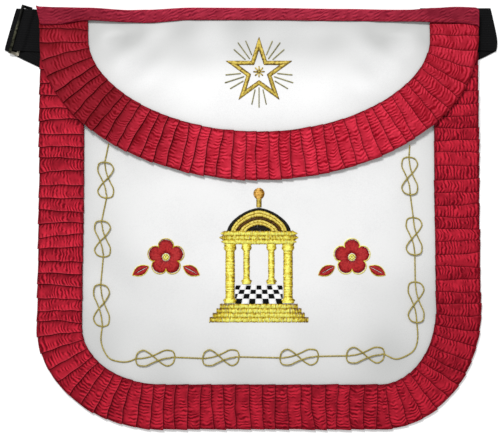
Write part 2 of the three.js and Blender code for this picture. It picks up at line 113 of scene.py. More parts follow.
# Embroidery
STAR_RADIUS = 31.0
STAR_STROKE = 3.0
STAR_ABOVE_RIBBON = 54.0
TEMPLE_WIDTH = 89.0
TEMPLE_HEIGHT = 121.0
TEMPLE_BELOW_FLAP = 7.5
ROSETTE_RADIUS = 17.0
ROSETTE_OFFSET = 84.0
ROSETTE_BELOW_FLAP = 70.0
LEAF_LENGTH = 17.0
LEAF_WIDTH = 9.0
LEAF_DROOP = 28.0

WAIST_Y = BODY_HEIGHT / 2
HEM_Y = -BODY_HEIGHT / 2
FLAP_CURVE_Y = WAIST_Y - FLAP_STRAIGHT
FLAP_LOW_Y = FLAP_CURVE_Y - FLAP_DROP
STRAP_LOW = STRAP_WALL / 2
STRAP_HIGH = STRAP_LOW + STRAP_WALL + CLEARANCE
BAND_BACK_LEVEL = 2 * (STRAP_WALL + CLEARANCE)
BELT_LIFT = BAND_BACK_LEVEL + RIBBON_WALL + CLEARANCE
BORDER_LIFT = RIBBON_WALL + PLEAT_RISE + CLEARANCE

MM = 0.001
panel_low, panel_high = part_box("body_panel")
SHIFT = np.array([(panel_low.x + panel_high.x) / 2 / MM, panel_high.y / MM - WAIST_Y, 0.0])


def ease(value):
    """Rises from 0 to 1 with level ends: 3 v² - 2 v³ of the clipped value."""
    share = np.clip(value, 0.0, 1.0)
    return share * share * (3 - 2 * share)


def lerp(start, end, share):
    return start + (end - start) * share


def unit(ways):
    """Ways along the last axis, each brought to a length of 1."""
    return ways / np.maximum(np.linalg.norm(ways, axis=-1, keepdims=True), 1e-9)


def heading(angle):
    """The way at an angle in radians from X, or a row of ways at a row of angles."""
    return np.stack([np.cos(angle), np.sin(angle)], axis=-1)


def left_of(way):
    """A way, or each of a row of them, turned a quarter turn to the left."""
    return np.stack([-way[..., 1], way[..., 0]], axis=-1)


def travelled(points):
    """Distance along a line of points to each of them."""
    return np.concatenate([[0], np.cumsum(np.linalg.norm(np.diff(points, axis=0), axis=1))])


def places_on(points, gone, at):
    """Places at distances along a line of points that are themselves at the distances gone."""
    return np.stack([np.interp(at, gone, column) for column in points.T], axis=-1)


def eased_table(table, column, place):
    """A column of a table, eased between its rows, at places on its first column."""
    after = np.clip(np.searchsorted(table[:, 0], place), 1, len(table) - 1)
    low, high = table[after - 1, 0], table[after, 0]
    return lerp(table[after - 1, column], table[after, column], ease((place - low) / (high - low)))


def waves(x, y, seed, count=7, long=70.0, short=24.0):
    """Soft noise from -1 to 1: a sum of sines whose directions, phases and lengths are drawn once."""
    rng = np.random.default_rng(seed)
    total = np.zeros(np.broadcast(x, y).shape)
    for _ in range(count):
        angle = rng.uniform(0, 2 * np.pi)
        length = rng.uniform(short, long)
        along = np.cos(angle) * x + np.sin(angle) * y
        total = total + np.sin(2 * np.pi * along / length + rng.uniform(0, 2 * np.pi))
    return total / (0.6 * count)


# Levels of the layers, as in the frame


def body_level(y):
    """Underside of the body panel: it eases up by the belt's height where the belt lies behind it."""
    low = FLAP_LOW_Y - DROP_MARGIN
    high = WAIST_Y - STRAP_BELOW_WAIST - BELT_SAG - STRAP_WIDTH / 2 - DROP_MARGIN
    return BELT_LIFT * ease((y - low) / (high - low))


def over_border(x):
    """Share of the rise that the flap has made on its way out over the body's border."""
    settle_end = TOP_HALF_WIDTH - BODY_RIBBON_WIDTH - SETTLE_MARGIN
    return ease((np.abs(x) - settle_end + SETTLE_LENGTH) / SETTLE_LENGTH)


def body_border_level(_, y):
    return body_level(y) + PANEL_WALL + CLEARANCE


def flap_level(x, y):
    return body_border_level(x, y) + BORDER_LIFT * over_border(x)


def flap_border_level(x, y):
    return flap_level(x, y) + PANEL_WALL + CLEARANCE


def band_front_level(x):
    return flap_border_level(x, WAIST_Y) + BORDER_LIFT * over_border(x)


def body_side_x(side, y, inset):
    """X of the body's side at a height: a straight side, then a quarter of an ellipse to the hem."""
    wide = np.where(side < 0, LEFT_CORNER_WIDE, RIGHT_CORNER_WIDE)
    deep = np.where(side < 0, LEFT_CORNER_DEEP, RIGHT_CORNER_DEEP)
    corner_y = HEM_Y + deep
    straight = lerp(LOW_HALF_WIDTH, TOP_HALF_WIDTH, (y - corner_y) / (WAIST_Y - corner_y)) - inset
    fall = np.clip((corner_y - y) / (deep - inset), 0, 1)
    curved = LOW_HALF_WIDTH - wide + (wide - inset) * np.sqrt(1 - fall * fall)
    return side * np.where(y >= corner_y, straight, curved)


def body_relief(x, y):
    """Soft hollows in the body panel. They fade out under its border, and they are shallower
    under the flap, where the flap would touch them."""
    reach = np.abs(body_side_x(np.sign(x) + (x == 0), y, BODY_RIBBON_WIDTH)) - np.abs(x)
    inside = ease(reach / 26) * ease((y - HEM_Y - BODY_RIBBON_WIDTH) / 26)
    depth = lerp(0.32, 0.08, ease((y - FLAP_LOW_Y + 14) / 20))
    return inside * depth * (0.5 + 0.5 * waves(x, y, 11, long=95.0, short=38.0))


def body_top(x, y):
    return body_level(y) + PANEL_WALL + body_relief(x, y)


def flap_reach(x, y):
    """Distance in from the flap's outer edge, along the way to the flap's upper middle."""
    fall = np.clip((FLAP_CURVE_Y - y) / FLAP_DROP, 0, None)
    radius = np.hypot(x / FLAP_HALF_WIDTH, fall)
    return (1 - radius) * lerp(FLAP_HALF_WIDTH, FLAP_DROP, fall / np.maximum(radius, 1e-6))


def flap_relief(x, y):
    """Soft dents in the flap, deeper towards its upper corners, fading out under its border."""
    inside = ease((flap_reach(x, y) - FLAP_RIBBON_WIDTH) / 22) * ease((WAIST_Y - BAND_HEIGHT - y) / 12)
    corner = 0.30 + 0.45 * ease((np.abs(x) - 70) / 60)
    soft = corner * (0.5 + 0.5 * waves(x, y, 5, long=80.0, short=30.0))
    slant = (np.abs(x) - 1.25 * (WAIST_Y - y)) / 1.6
    pulled = 0.42 * (1 + np.sin(2 * np.pi * slant / 27 + np.sign(x) * 0.8)) * ease((np.abs(x) - 62) / 50)
    return inside * (soft + pulled)


def flap_top(x, y):
    return flap_level(x, y) + PANEL_WALL + flap_relief(x, y)


# Mesh building


def grid_quads(rows, columns):
    """Quads of a grid of points, each row joined to the next."""
    corner = (np.arange(rows - 1)[:, None] * columns + np.arange(columns - 1)).reshape(-1, 1)
    return corner + np.array([0, 1, columns + 1, columns])


def sheet_quads(rows, columns):
    """Quads of a closed sheet: a front grid, a back grid behind it and the rim between them."""
    size = rows * columns
    front = grid_quads(rows, columns)
    back = front[:, ::-1] + size
    ring = np.concatenate([
        np.arange(columns - 1),
        np.arange(rows - 1) * columns + columns - 1,
        size - 1 - np.arange(columns - 1),
        (rows - 1 - np.arange(rows - 1)) * columns,
    ])
    after = np.roll(ring, -1)
    rim = np.stack([after, ring, ring + size, after + size], axis=1)
    return np.concatenate([front, back, rim])


def tube_quads(rings, sides):
    """Quads of a tube whose rings follow each other, and the triangles to a pole at each end."""
    start = (np.arange(rings - 1)[:, None] * sides + np.arange(sides)).reshape(-1)
    step = (start // sides) * sides
    after = step + (start + 1 - step) % sides
    quads = np.stack([start, after, after + sides, start + sides], axis=1)
    side = np.arange(sides)
    around = (side + 1) % sides
    last = (rings - 1) * sides
    first_pole = np.full(sides, rings * sides)
    caps = np.concatenate([
        np.stack([around, side, first_pole], axis=1),
        np.stack([last + side, last + around, first_pole + 1], axis=1),
    ])
    return quads, caps


def normals(grid):
    """Unit normals of a grid of points, from the steps along its rows and its columns."""
    along = np.gradient(grid, axis=0)
    across = np.gradient(grid, axis=1)
    return unit(np.cross(across, along))


def signed_volume(points, triangles):
    """Six times the volume inside a closed mesh, negative where its faces point inwards."""
    a, b, c = points[triangles[:, 0]], points[triangles[:, 1]], points[triangles[:, 2]]
    return np.einsum("ij,ij->", a, np.cross(b, c))


def both_faces(values):
    """What a sheet's front points carry, repeated for its back points."""
    return np.concatenate([values, values])


def add_object(name, data):
    """A new object in the scene, round a mesh, a light or a camera."""
    made = bpy.data.objects.new(name, data)
    bpy.context.scene.collection.objects.link(made)
    return made


def piece(name, points, faces, material, nodes=(), attributes=None, sharp=50):
    """A smooth closed mesh from points in the apron's millimetres, faces pointing out. Attributes
    are numbers or vectors, one for each point."""
    points = points.reshape(-1, 3)
    triangles = np.concatenate([face[:, [0, 1, 2]] for face in faces])
    quads = [face[:, [0, 2, 3]] for face in faces if face.shape[1] == 4]
    triangles = np.concatenate([triangles, *quads])
    if signed_volume(points - points.mean(0), triangles) < 0:
        faces = [face[:, ::-1] for face in faces]
    mesh = bpy.data.meshes.new(name)
    mesh.from_pydata(((points + SHIFT) * MM).tolist(), [], [row for face in faces for row in face.tolist()])
    for key, values in (attributes or {}).items():
        flat = np.ascontiguousarray(values, dtype=np.float32)
        vector = flat.size == len(points) * 3
        layer = mesh.attributes.new(key, "FLOAT_VECTOR" if vector else "FLOAT", "POINT")
        layer.data.foreach_set("vector" if vector else "value", flat.reshape(-1))
    mesh.shade_smooth()
    if sharp:
        mesh.set_sharp_from_angle(angle=math.radians(sharp))
    mesh.materials.append(material)
    made = add_object(name, mesh)
    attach(made, "root")
    if nodes:
        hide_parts(*nodes)
    return made


# Materials


def paint(red, green, blue):
    """A screen colour of 0 to 255 as the linear colour that a shader takes."""
    screen = np.array([red, green, blue]) / 255
    linear = np.where(screen <= 0.04045, screen / 12.92, ((screen + 0.055) / 1.055) ** 2.4)
    return (*linear.tolist(), 1.0)


class Value:
    """A socket that carries a number. Plain operators between values add Math nodes."""

    def __init__(self, finish, socket):
        self.finish = finish
        self.socket = socket

    def maths(self, operation, *values, clamp=False):
        settings = {"operation": operation, "use_clamp": clamp}
        return self.finish.node("ShaderNodeMath", settings, dict(enumerate(values)))

    def __add__(self, other):
        return self.maths("ADD", self, other)

    def __radd__(self, other):
        return self.maths("ADD", other, self)

    def __sub__(self, other):
        return self.maths("SUBTRACT", self, other)

    def __mul__(self, other):
        return self.maths("MULTIPLY", self, other)

    def __truediv__(self, other):
        return self.maths("DIVIDE", self, other)

    def sine(self):
        return self.maths("SINE", self)

    def clipped(self):
        return self.maths("ADD", self, 0.0, clamp=True)

    def smooth(self, low, high):
        """Rises smoothly from 0 to 1 while this value goes from low to high."""
        return self.finish.node(
            "ShaderNodeMapRange", {"interpolation_type": "SMOOTHSTEP"}, {0: self, 1: low, 2: high},
        )


class Finish:
    """A material built from nodes, with one method that adds any node."""

    def __init__(self, name):
        self.material = bpy.data.materials.new(name)
        self.material.use_nodes = True
        self.tree = self.material.node_tree
        self.tree.nodes.clear()

    def node(self, kind, settings=None, sockets=None, output=0):
        """Adds a node: its settings first, then values or links for its sockets."""
        node = self.tree.nodes.new(kind)
        for key, setting in (settings or {}).items():
            setattr(node, key, setting)
        for key, given in (sockets or {}).items():
            if isinstance(given, Value):
                self.tree.links.new(given.socket, node.inputs[key])
            else:
                node.inputs[key].default_value = given
        return Value(self, node.outputs[output])

    def place(self):
        """The object's own coordinates, in millimetres."""
        where = self.node("ShaderNodeTexCoord", output="Object")
        return self.node("ShaderNodeVectorMath", {"operation": "SCALE"}, {"Vector": where, "Scale": 1 / MM})

    def attribute(self, name, output="Fac"):
        return self.node("ShaderNodeAttribute", {"attribute_name": name}, output=output)

    def parts(self, vector):
        """The three numbers of a vector."""
        split = self.node("ShaderNodeSeparateXYZ", None, {0: vector}).socket.node
        return [Value(self, socket) for socket in split.outputs]

    def vector(self, x, y, z=0.0):
        return self.node("ShaderNodeCombineXYZ", None, {0: x, 1: y, 2: z})

    def stretch(self, vector, x, y, z):
        return self.node("ShaderNodeVectorMath", {"operation": "MULTIPLY"}, {0: vector, 1: (x, y, z)})

    def noise(self, vector, scale, detail=2.0, rough=0.5):
        """Noise round 0.5 of about 0 to 1."""
        sockets = {"Vector": vector, "Scale": scale, "Detail": detail, "Roughness": rough}
        return self.node("ShaderNodeTexNoise", None, sockets, "Fac")

    def cells(self, vector, scale):
        return self.node("ShaderNodeTexVoronoi", None, {"Vector": vector, "Scale": scale}, "Distance")

    def blend(self, factor, first, second):
        """Colour first where the factor is 0 and colour second where it is 1."""
        settings = {"data_type": "RGBA", "clamp_factor": True}
        return self.node("ShaderNodeMix", settings, {0: factor, 6: first, 7: second}, 2)

    def bump(self, height, strength, distance):
        """A bump of a height in millimetres times distance."""
        sockets = {"Height": height, "Strength": strength, "Distance": distance * MM}
        return self.node("ShaderNodeBump", None, sockets)

    def done(self, **settings):
        """Ends the material in a Principled shader. Keywords are its sockets, with _ for spaces."""
        sockets = {key.replace("_", " "): given for key, given in settings.items()}
        shader = self.node("ShaderNodeBsdfPrincipled", None, sockets)
        end = self.tree.nodes.new("ShaderNodeOutputMaterial")
        self.tree.links.new(shader.socket, end.inputs["Surface"])
        return self.material


# Pitches of the ribbon's watermarks and ribs, and of the webbing's rows and picks
WATERMARK_PITCH = 3.0
RIB_PITCH = 0.62
ROW_PITCH = 2.1
PICK_PITCH = 1.25


def moire_ribbon(name, light, dark, painted_fold_highlight, shade, watered):
    """Ribbed moire ribbon. Its lay attribute holds the length along the ribbon, the distance across
    it and the pleat's own number: ribs cross the ribbon, and wavy watermarks run along it. The
    four screen colours are the watermarks' light and dark, the painted highlight on the folds and
    the painted shade that the depth attribute lays on."""
    finish = Finish(name)
    length, across, own = finish.parts(finish.attribute("lay", "Vector"))
    drift = finish.noise(finish.vector(length / 11, across / 10, own * 0.6), 1.0, 1.0)
    ripple = finish.noise(finish.vector(length / 3.4, across / 5, own * 4), 1.0, 1.0)
    mark = (across * (2 * math.pi / WATERMARK_PITCH) + drift * 12 + ripple * 6).sine()
    patches = finish.noise(finish.vector(length / 5, across / 8, own * 3 + 5), 1.0, 2.0)
    patch = patches.smooth(0.36, 0.6) * watered
    cloud = finish.noise(finish.vector(length / 7, across / 8, own * 5 + 9), 1.0, 2.0)
    fine = finish.noise(finish.vector(length / 1.6, across / 0.7, own), 1.0, 2.0)
    tone = 0.5 + mark * patch * 0.6 + (fine - 0.5) * 0.22 + (own - 0.5) * 0.3 + (cloud - 0.5) * 1.2
    colour = finish.blend(tone.clipped(), paint(*dark), paint(*light))
    # Painted highlight on the folds, as the fold attribute says, then painted shade, as the depth attribute
    # says.
    colour = finish.blend(finish.attribute("fold") * (0.35 + fine * 0.4), colour, paint(*painted_fold_highlight))
    colour = finish.blend(finish.attribute("depth"), colour, paint(*shade))
    rib = (length * (2 * math.pi / RIB_PITCH)).sine()
    normal = finish.bump(rib * 0.25 + mark * patch * 0.75, 0.6, 0.22)
    rough = 0.54 + fine * 0.12 - mark * patch * 0.06
    return finish.done(Base_Color=colour, Roughness=rough, Normal=normal, Specular_IOR_Level=0.05)


def white_leather(name):
    """White leather: fine pebbled grain and faint uneven whiteness, with painted shade along its edges and
    where less light falls.
    """
    finish = Finish(name)
    where = finish.place()
    cloud = finish.noise(where, 0.022, 3.0)
    speck = finish.noise(where, 1.1, 2.0)
    whiteness = (cloud * 0.5 + speck * 0.5).smooth(0.25, 0.6)
    colour = finish.blend(whiteness, paint(236, 236, 237), paint(247, 247, 247))
    # Painted shade: greyer beside the ribbon, and greyer still where less light falls.
    colour = finish.blend(finish.attribute("edge") * 0.5, colour, paint(212, 212, 211))
    colour = finish.blend(finish.attribute("dull"), colour, paint(194, 195, 194))
    grain = finish.cells(where, 0.85)
    pore = finish.noise(where, 3.2, 2.0)
    normal = finish.bump(grain * 0.6 + pore * 0.4, 0.35, 0.12)
    return finish.done(
        Base_Color=colour, Roughness=0.52 + pore * 0.16, Normal=normal, Specular_IOR_Level=0.4,
    )


def webbing(name):
    """Black belt webbing: two-up two-down ribs in rows along the strap, with dusty high spots."""
    finish = Finish(name)
    length, across, _ = finish.parts(finish.attribute("lay", "Vector"))
    row = (across * (2 * math.pi / ROW_PITCH)).sine()
    pick = (length * (2 * math.pi / PICK_PITCH) + across * (math.pi / ROW_PITCH)).sine()
    height = (row * 0.5 + 0.5) * (pick * 0.5 + 0.5)
    dust = finish.noise(finish.place(), 0.12, 3.0)
    colour = finish.blend(height * (0.4 + dust * 0.8), paint(4, 4, 5), paint(19, 19, 21))
    normal = finish.bump(height, 0.8, 0.3)
    rough = 0.78 + dust * 0.15
    return finish.done(Base_Color=colour, Roughness=rough, Normal=normal, Specular_IOR_Level=0.16)


def thread(name, dark, middle, light, rough, metal=0.0, gloss=0.4):
    """Satin thread in three screen colours. Each strand has its own tone, a painted highlight where
    it is crowned and painted shade at its ends; strands vary together in small patches, painted
    glints speckle them, and the twist of the thread is a fine bump."""
    finish = Finish(name)
    own = finish.attribute("tone")
    where = finish.place()
    patches = finish.noise(where, 0.55, 2.0)
    painted_glint_and_gloss = finish.noise(where, 2.4, 1.0)
    uneven = own * 0.4 + (patches - 0.5) * 1.6 + (painted_glint_and_gloss - 0.5) * 1.1
    # Painted highlight where a strand is crowned and painted shade at its ends, with painted glints.
    level = (uneven + finish.attribute("crown") * 1.15 - 0.24).clipped()
    colour = finish.blend(level.smooth(0.0, 0.55), paint(*dark), paint(*middle))
    colour = finish.blend(level.smooth(0.5, 1.0), colour, paint(*light))
    twist = finish.noise(finish.stretch(where, 2.0, 2.0, 1.0), 2.0, 2.0)
    normal = finish.bump(twist, 0.4, 0.12)
    return finish.done(
        Base_Color=colour, Roughness=rough + painted_glint_and_gloss * 0.16, Metallic=metal, Normal=normal,
        Specular_IOR_Level=gloss,
    )


def chequer_thread(name):
    """Satin thread that is black or white, as each patch's squares attribute says."""
    finish = Finish(name)
    own = finish.attribute("tone")
    black = finish.blend(own, paint(2, 2, 2), paint(10, 10, 11))
    white = finish.blend(own, paint(246, 246, 246), paint(254, 254, 254))
    colour = finish.blend(finish.attribute("squares"), black, white)
    twist = finish.noise(finish.place(), 2.6, 2.0)
    return finish.done(
        Base_Color=colour, Roughness=0.6 + own * 0.15, Normal=finish.bump(twist, 0.4, 0.12),
        Specular_IOR_Level=0.12,
    )


def brushed_steel(name, light, dark, rough, worn_below, black_above):
    """Dark plate in two screen colours, with fine scratches and a few dull spots. It is rubbed
    bright below one height along Y and nearly black above another."""
    finish = Finish(name)
    where = finish.place()
    scratch = finish.noise(finish.stretch(where, 0.3, 4.0, 1.0), 1.2, 3.0)
    spots = finish.noise(where, 0.35, 3.0)
    colour = finish.blend((spots * 0.6 + scratch * 0.4).smooth(0.35, 0.65), paint(*dark), paint(*light))
    worn = (worn_below + spots * 5 - finish.parts(where)[1]).smooth(0, 6)
    colour = finish.blend(worn, colour, paint(214, 206, 186))
    black = (finish.parts(where)[1] - black_above).smooth(0, 8)
    colour = finish.blend(black, colour, paint(12, 12, 11))
    normal = finish.bump(scratch, 0.25, 0.08)
    return finish.done(Base_Color=colour, Metallic=1.0, Roughness=rough + spots * 0.2, Normal=normal)


# One ribbon in two copies: the flap's copy is painted lighter than the body's, as painted light.
flap_moire = moire_ribbon("flap_moire", (252, 60, 86), (160, 8, 30), (234, 82, 98), (74, 0, 2), watered=1.0)
body_moire = moire_ribbon("body_moire", (218, 42, 64), (112, 6, 22), (212, 66, 82), (74, 0, 8), watered=1.0)
band_moire = moire_ribbon("band_moire", (182, 50, 72), (120, 18, 40), (184, 56, 76), (74, 2, 16), watered=0.9)
leather = white_leather("white_leather")
black_webbing = webbing("black_webbing")
gold = thread("gold_thread", (112, 80, 2), (222, 194, 32), (255, 255, 132), rough=0.34, metal=0.15)
old_gold = thread("old_gold_thread", (86, 64, 8), (150, 122, 32), (222, 198, 88), rough=0.36, metal=0.15)
arch_gold = thread("arch_gold_thread", (92, 64, 4), (196, 164, 40), (246, 228, 116), rough=0.34, metal=0.15)
amber_gold = thread("amber_gold_thread", (112, 68, 8), (182, 130, 36), (236, 188, 92), rough=0.3, metal=0.2)
cord_gold = thread(
    "cord_gold", (124, 110, 42), (162, 146, 66), (204, 188, 108), rough=0.5, metal=0.05, gloss=0.25,
)
ray_thread = thread("ray_thread", (98, 96, 62), (134, 130, 88), (176, 170, 122), rough=0.5, gloss=0.25)
black_thread = thread("black_thread", (3, 3, 3), (13, 12, 11), (40, 37, 30), rough=0.5, gloss=0.15)
brown_thread = thread("brown_thread", (18, 8, 3), (50, 26, 11), (100, 66, 26), rough=0.5, gloss=0.15)
red_thread = thread("red_thread", (112, 6, 12), (152, 20, 26), (184, 42, 44), rough=0.45, gloss=0.2)
chequer = chequer_thread("chequer_thread")
slide_steel = brushed_steel(
    "slide_steel", (58, 58, 46), (22, 22, 18), rough=0.3, worn_below=147, black_above=170,
)
clasp_steel = brushed_steel(
    "clasp_steel", (150, 150, 150), (80, 80, 82), rough=0.34, worn_below=-400, black_above=400,
)


# Panels


def foot_rows(deep, low_y, first_angle, curved, straight):
    """Heights of a panel's rows, and their share of its width on a round foot: even angles round
    the foot, then even steps to the waist."""
    angle = np.radians(np.linspace(first_angle, 90, curved + 1))
    foot = low_y + deep * (1 - np.cos(angle))
    upper = np.linspace(foot[-1], WAIST_Y, straight + 1)[1:]
    return np.concatenate([foot, upper]), np.concatenate([np.sin(angle), np.ones(straight)])


def panel(name, node, x, y, top, low, near, dull):
    """A closed sheet of leather from its top and low levels over a grid of places. near is the
    distance in from the ribbon, beside which the leather has painted shade. dull is how much
    painted shade it has elsewhere."""
    points = np.concatenate([np.stack([x, y, top], -1), np.stack([x, y, low], -1)])
    # Both marks are painted shade.
    marks = {"edge": np.exp(-np.clip(near, 0, None) / 12), "dull": dull}
    attributes = {key: both_faces(values) for key, values in marks.items()}
    made = piece(name, points, [sheet_quads(*x.shape)], leather, [node], attributes)
    area = 0.5 * np.abs(np.sum(
        (x[1:, 1:] - x[:-1, :-1]) * (y[1:, :-1] - y[:-1, 1:])
        - (x[1:, :-1] - x[:-1, 1:]) * (y[1:, 1:] - y[:-1, :-1])
    ))
    flat = (float(np.ptp(x)) * MM, float(np.ptp(y)) * MM)
    return made, flat, area * MM * MM


# Where the body's painted light is brightest, and how far it reaches across and up
LIT_X = 15.0
LIT_Y = 35.0
LIT_WIDE = 170.0
LIT_HIGH = 165.0


def body_panel():
    """Rows of places from side to side. The leather has painted shade away from its lit place and
    towards its lower right corner."""
    deep = max(LEFT_CORNER_DEEP, RIGHT_CORNER_DEEP) - RIBBON_OVERHANG
    heights, _ = foot_rows(deep, HEM_Y + RIBBON_OVERHANG, first_angle=0, curved=40, straight=90)
    y, share = np.meshgrid(heights, np.linspace(0, 1, 121), indexing="ij")
    left = body_side_x(-1, y, RIBBON_OVERHANG)
    right = body_side_x(1, y, RIBBON_OVERHANG)
    x = lerp(left, right, share)
    inner = np.abs(body_side_x(np.where(x < 0, -1, 1), y, BODY_RIBBON_WIDTH)) - np.abs(x)
    near = np.minimum(inner, y - HEM_Y - BODY_RIBBON_WIDTH)
    from_lit = np.hypot((x - LIT_X) / LIT_WIDE, (y - LIT_Y) / LIT_HIGH)
    # Painted shade: greyer away from the lit place and towards the lower right corner.
    dull = 0.17 + 0.57 * ease((from_lit - 0.45) / 0.95) + 0.16 * ease((x - 40) / 90) * ease((-y - 30) / 60)
    dull = dull * (1 + 0.22 * waves(x, y, 23, long=90.0, short=40.0))
    made, flat, area = panel("body_leather", "body_panel", x, y, body_top(x, y), body_level(y), near, dull)


def flap_panel():
    """Rows of places from side to side. The leather has painted shade below the band and in its hollows."""
    deep = FLAP_DROP - RIBBON_OVERHANG
    heights, shares = foot_rows(deep, FLAP_LOW_Y + RIBBON_OVERHANG, first_angle=3, curved=50, straight=16)
    y, across = np.meshgrid(heights, np.linspace(-1, 1, 141), indexing="ij")
    x = across * shares[:, None] * (FLAP_HALF_WIDTH - RIBBON_OVERHANG)
    near = flap_reach(x, y) - FLAP_RIBBON_WIDTH
    # Painted shade below the band and in the hollows.
    painted_band_shade = 0.8 * ease((y - 118) / 52)
    painted_hollow_shade = 0.24 * (1 - np.clip(flap_relief(x, y) / 0.9, 0, 1)) * ease((np.abs(x) - 50) / 60)
    dull = painted_band_shade * (1 + 0.26 * waves(x, y, 29, long=60.0, short=24.0)) + painted_hollow_shade
    made, flat, area = panel("flap_leather", "flap_panel", x, y, flap_top(x, y), flap_level(x, y), near, dull)


# Pleated borders


class Edge:
    """The outer edge of a border, by distance along the middle of its ribbon. The inward way is
    square to the edge."""

    def __init__(self, points, width):
        self.points = points
        self.inward = left_of(unit(np.gradient(points, axis=0)))
        self.gone = travelled(points + self.inward * width / 2)
        self.length = self.gone[-1]

    def at(self, distance, reach):
        """X and Y at a distance along the ribbon and a reach inwards from its outer edge."""
        edge = places_on(self.points, self.gone, distance)
        inward = places_on(self.inward, self.gone, distance)
        return np.moveaxis(edge + inward * reach[..., None], -1, 0)


def line_points(start, end, count=400):
    return lerp(np.array(start), np.array(end), np.linspace(0, 1, count)[:, None])


def arc_points(centre, wide, deep, start, end, count=900):
    """Part of an ellipse round a centre, between two angles in degrees."""
    return centre + heading(np.radians(np.linspace(start, end, count))) * [wide, deep]


def joined(*stretches):
    """One run of points from several, without the points where they meet."""
    return np.concatenate([stretches[0], *[stretch[1:] for stretch in stretches[1:]]])


def body_edge():
    """From the left end of the waist down, along the hem and up to the waist's right end."""
    left = (LEFT_CORNER_WIDE - LOW_HALF_WIDTH, HEM_Y + LEFT_CORNER_DEEP)
    right = (LOW_HALF_WIDTH - RIGHT_CORNER_WIDE, HEM_Y + RIGHT_CORNER_DEEP)
    points = joined(
        line_points((-TOP_HALF_WIDTH, WAIST_Y), (-LOW_HALF_WIDTH, left[1])),
        arc_points(left, LEFT_CORNER_WIDE, LEFT_CORNER_DEEP, 180, 270),
        line_points((left[0], HEM_Y), (right[0], HEM_Y)),
        arc_points(right, RIGHT_CORNER_WIDE, RIGHT_CORNER_DEEP, 270, 360),
        line_points((LOW_HALF_WIDTH, right[1]), (TOP_HALF_WIDTH, WAIST_Y)),
    )
    return Edge(points, BODY_RIBBON_WIDTH)


def flap_edge():
    points = joined(
        line_points((-FLAP_HALF_WIDTH, WAIST_Y), (-FLAP_HALF_WIDTH, FLAP_CURVE_Y)),
        arc_points((0, FLAP_CURVE_Y), FLAP_HALF_WIDTH, FLAP_DROP, 180, 360),
        line_points((FLAP_HALF_WIDTH, FLAP_CURVE_Y), (FLAP_HALF_WIDTH, WAIST_Y)),
    )
    return Edge(points, FLAP_RIBBON_WIDTH)


# A pleat's section along the ribbon: how much of each pleat lies under the one before it, the
# ribbon's own thickness, the radius of its free fold, the level that its face starts from, the
# face's swell, its height under the waistband and its number of stations
PLEAT_TUCK = 0.42
RIBBON_THICK = 0.26
FOLD_RADIUS = 0.26
FACE_LOW = 0.25
FACE_CROWN = 0.22
WAIST_PRESS = 0.72
FACE_STATIONS = 13

# How uneven the pleats are: in pitch as a share, and in mm how far a fold is skewed, bowed and wavy
# and how far its free edge is ruffled
PITCH_UNEVEN = 0.09
FOLD_SKEW = 0.8
FOLD_BOW = 0.7
FOLD_WIGGLE = 0.3
FACE_RUFFLE = 0.26

# Shares of the pitch over which the painted dark line and the painted soft shade past a fold fade,
# and the painted shade before it
LINE_FADE = 0.08
PAST_FADE = 0.36
BEFORE_FADE = 0.16

# How much the pleats stand up: place from the waist's left end round to its right one, stand
PLEAT_STAND = np.array([
    (0.0, 0.85), (0.15, 1.0), (0.36, 1.0), (0.5, 0.62), (0.64, 0.42), (0.8, 0.25), (1.0, 0.3),
])

# Painted shade where the ribbon's ribs face away from the light: place as above, darkness
FLAP_RIB_SHADE = np.array([
    (0.0, 0.62), (0.17, 0.68), (0.29, 0.32), (0.38, 0.08), (0.5, 0.0), (0.7, 0.14), (0.85, 0.34), (1.0, 0.36),
])
BODY_RIB_SHADE = np.array([
    (0.0, 0.0), (0.3, 0.0), (0.42, 0.06), (0.6, 0.08), (0.7, 0.24), (0.8, 0.08), (1.0, 0.0),
])

# How high the folds of each border stand
BODY_PLEAT_TALL = 1.95
FLAP_PLEAT_TALL = 2.4


def pleat_section():
    """One pleat's middle line: the face rises to its free edge, folds under, runs back beneath
    itself and folds down to where the next face starts. Its five columns of stations: run as a
    share of the pitch, forward in mm, rise as a share of the height, drop in mm, how near the free
    fold it is."""
    run = np.array([-PLEAT_TUCK, -0.2, 0.0, 0.03, 0.07, 0.12, 0.19, 0.3, 0.46, 0.62, 0.78, 0.91, 1.0])
    face = (run + PLEAT_TUCK) / (1 + PLEAT_TUCK)
    rise = face ** 0.85
    crown = FACE_CROWN * np.sin(np.pi * face)
    zeros = np.zeros_like(face)
    near_fold = ease((run - 0.88) / 0.12)
    first = [run, zeros, rise, crown, near_fold]

    turn = np.radians(np.array([55, 20, -20, -55]))
    ones = np.ones_like(turn)
    second = [ones, FOLD_RADIUS * np.cos(turn), ones, FOLD_RADIUS * (np.sin(turn) - 1), ones]

    back = np.linspace(1, 1 - PLEAT_TUCK, 4)
    share = (back + PLEAT_TUCK) / (1 + PLEAT_TUCK)
    under = 2 * FOLD_RADIUS
    crown_back = FACE_CROWN * np.sin(np.pi * share)
    third = [back, 0 * back, share ** 0.85, crown_back - under, 0 * back]

    half_turn = np.array([0.3, 0.7]) * np.pi
    left_over = (1 + np.cos(half_turn)) / 2
    flat = np.full_like(half_turn, 1 - PLEAT_TUCK)
    fourth = [
        flat, -FOLD_RADIUS * np.sin(half_turn), share[-1] ** 0.85 * left_over,
        (crown_back[-1] - under) * left_over, 0 * half_turn,
    ]
    return np.concatenate([first, second, third, fourth], axis=1)[..., None]


def wavy(rng, across, low, high, shape):
    """A wave across the ribbon for each pleat, with its own length and phase."""
    return np.sin(across * rng.uniform(low, high, shape) + rng.uniform(0, 6, shape))


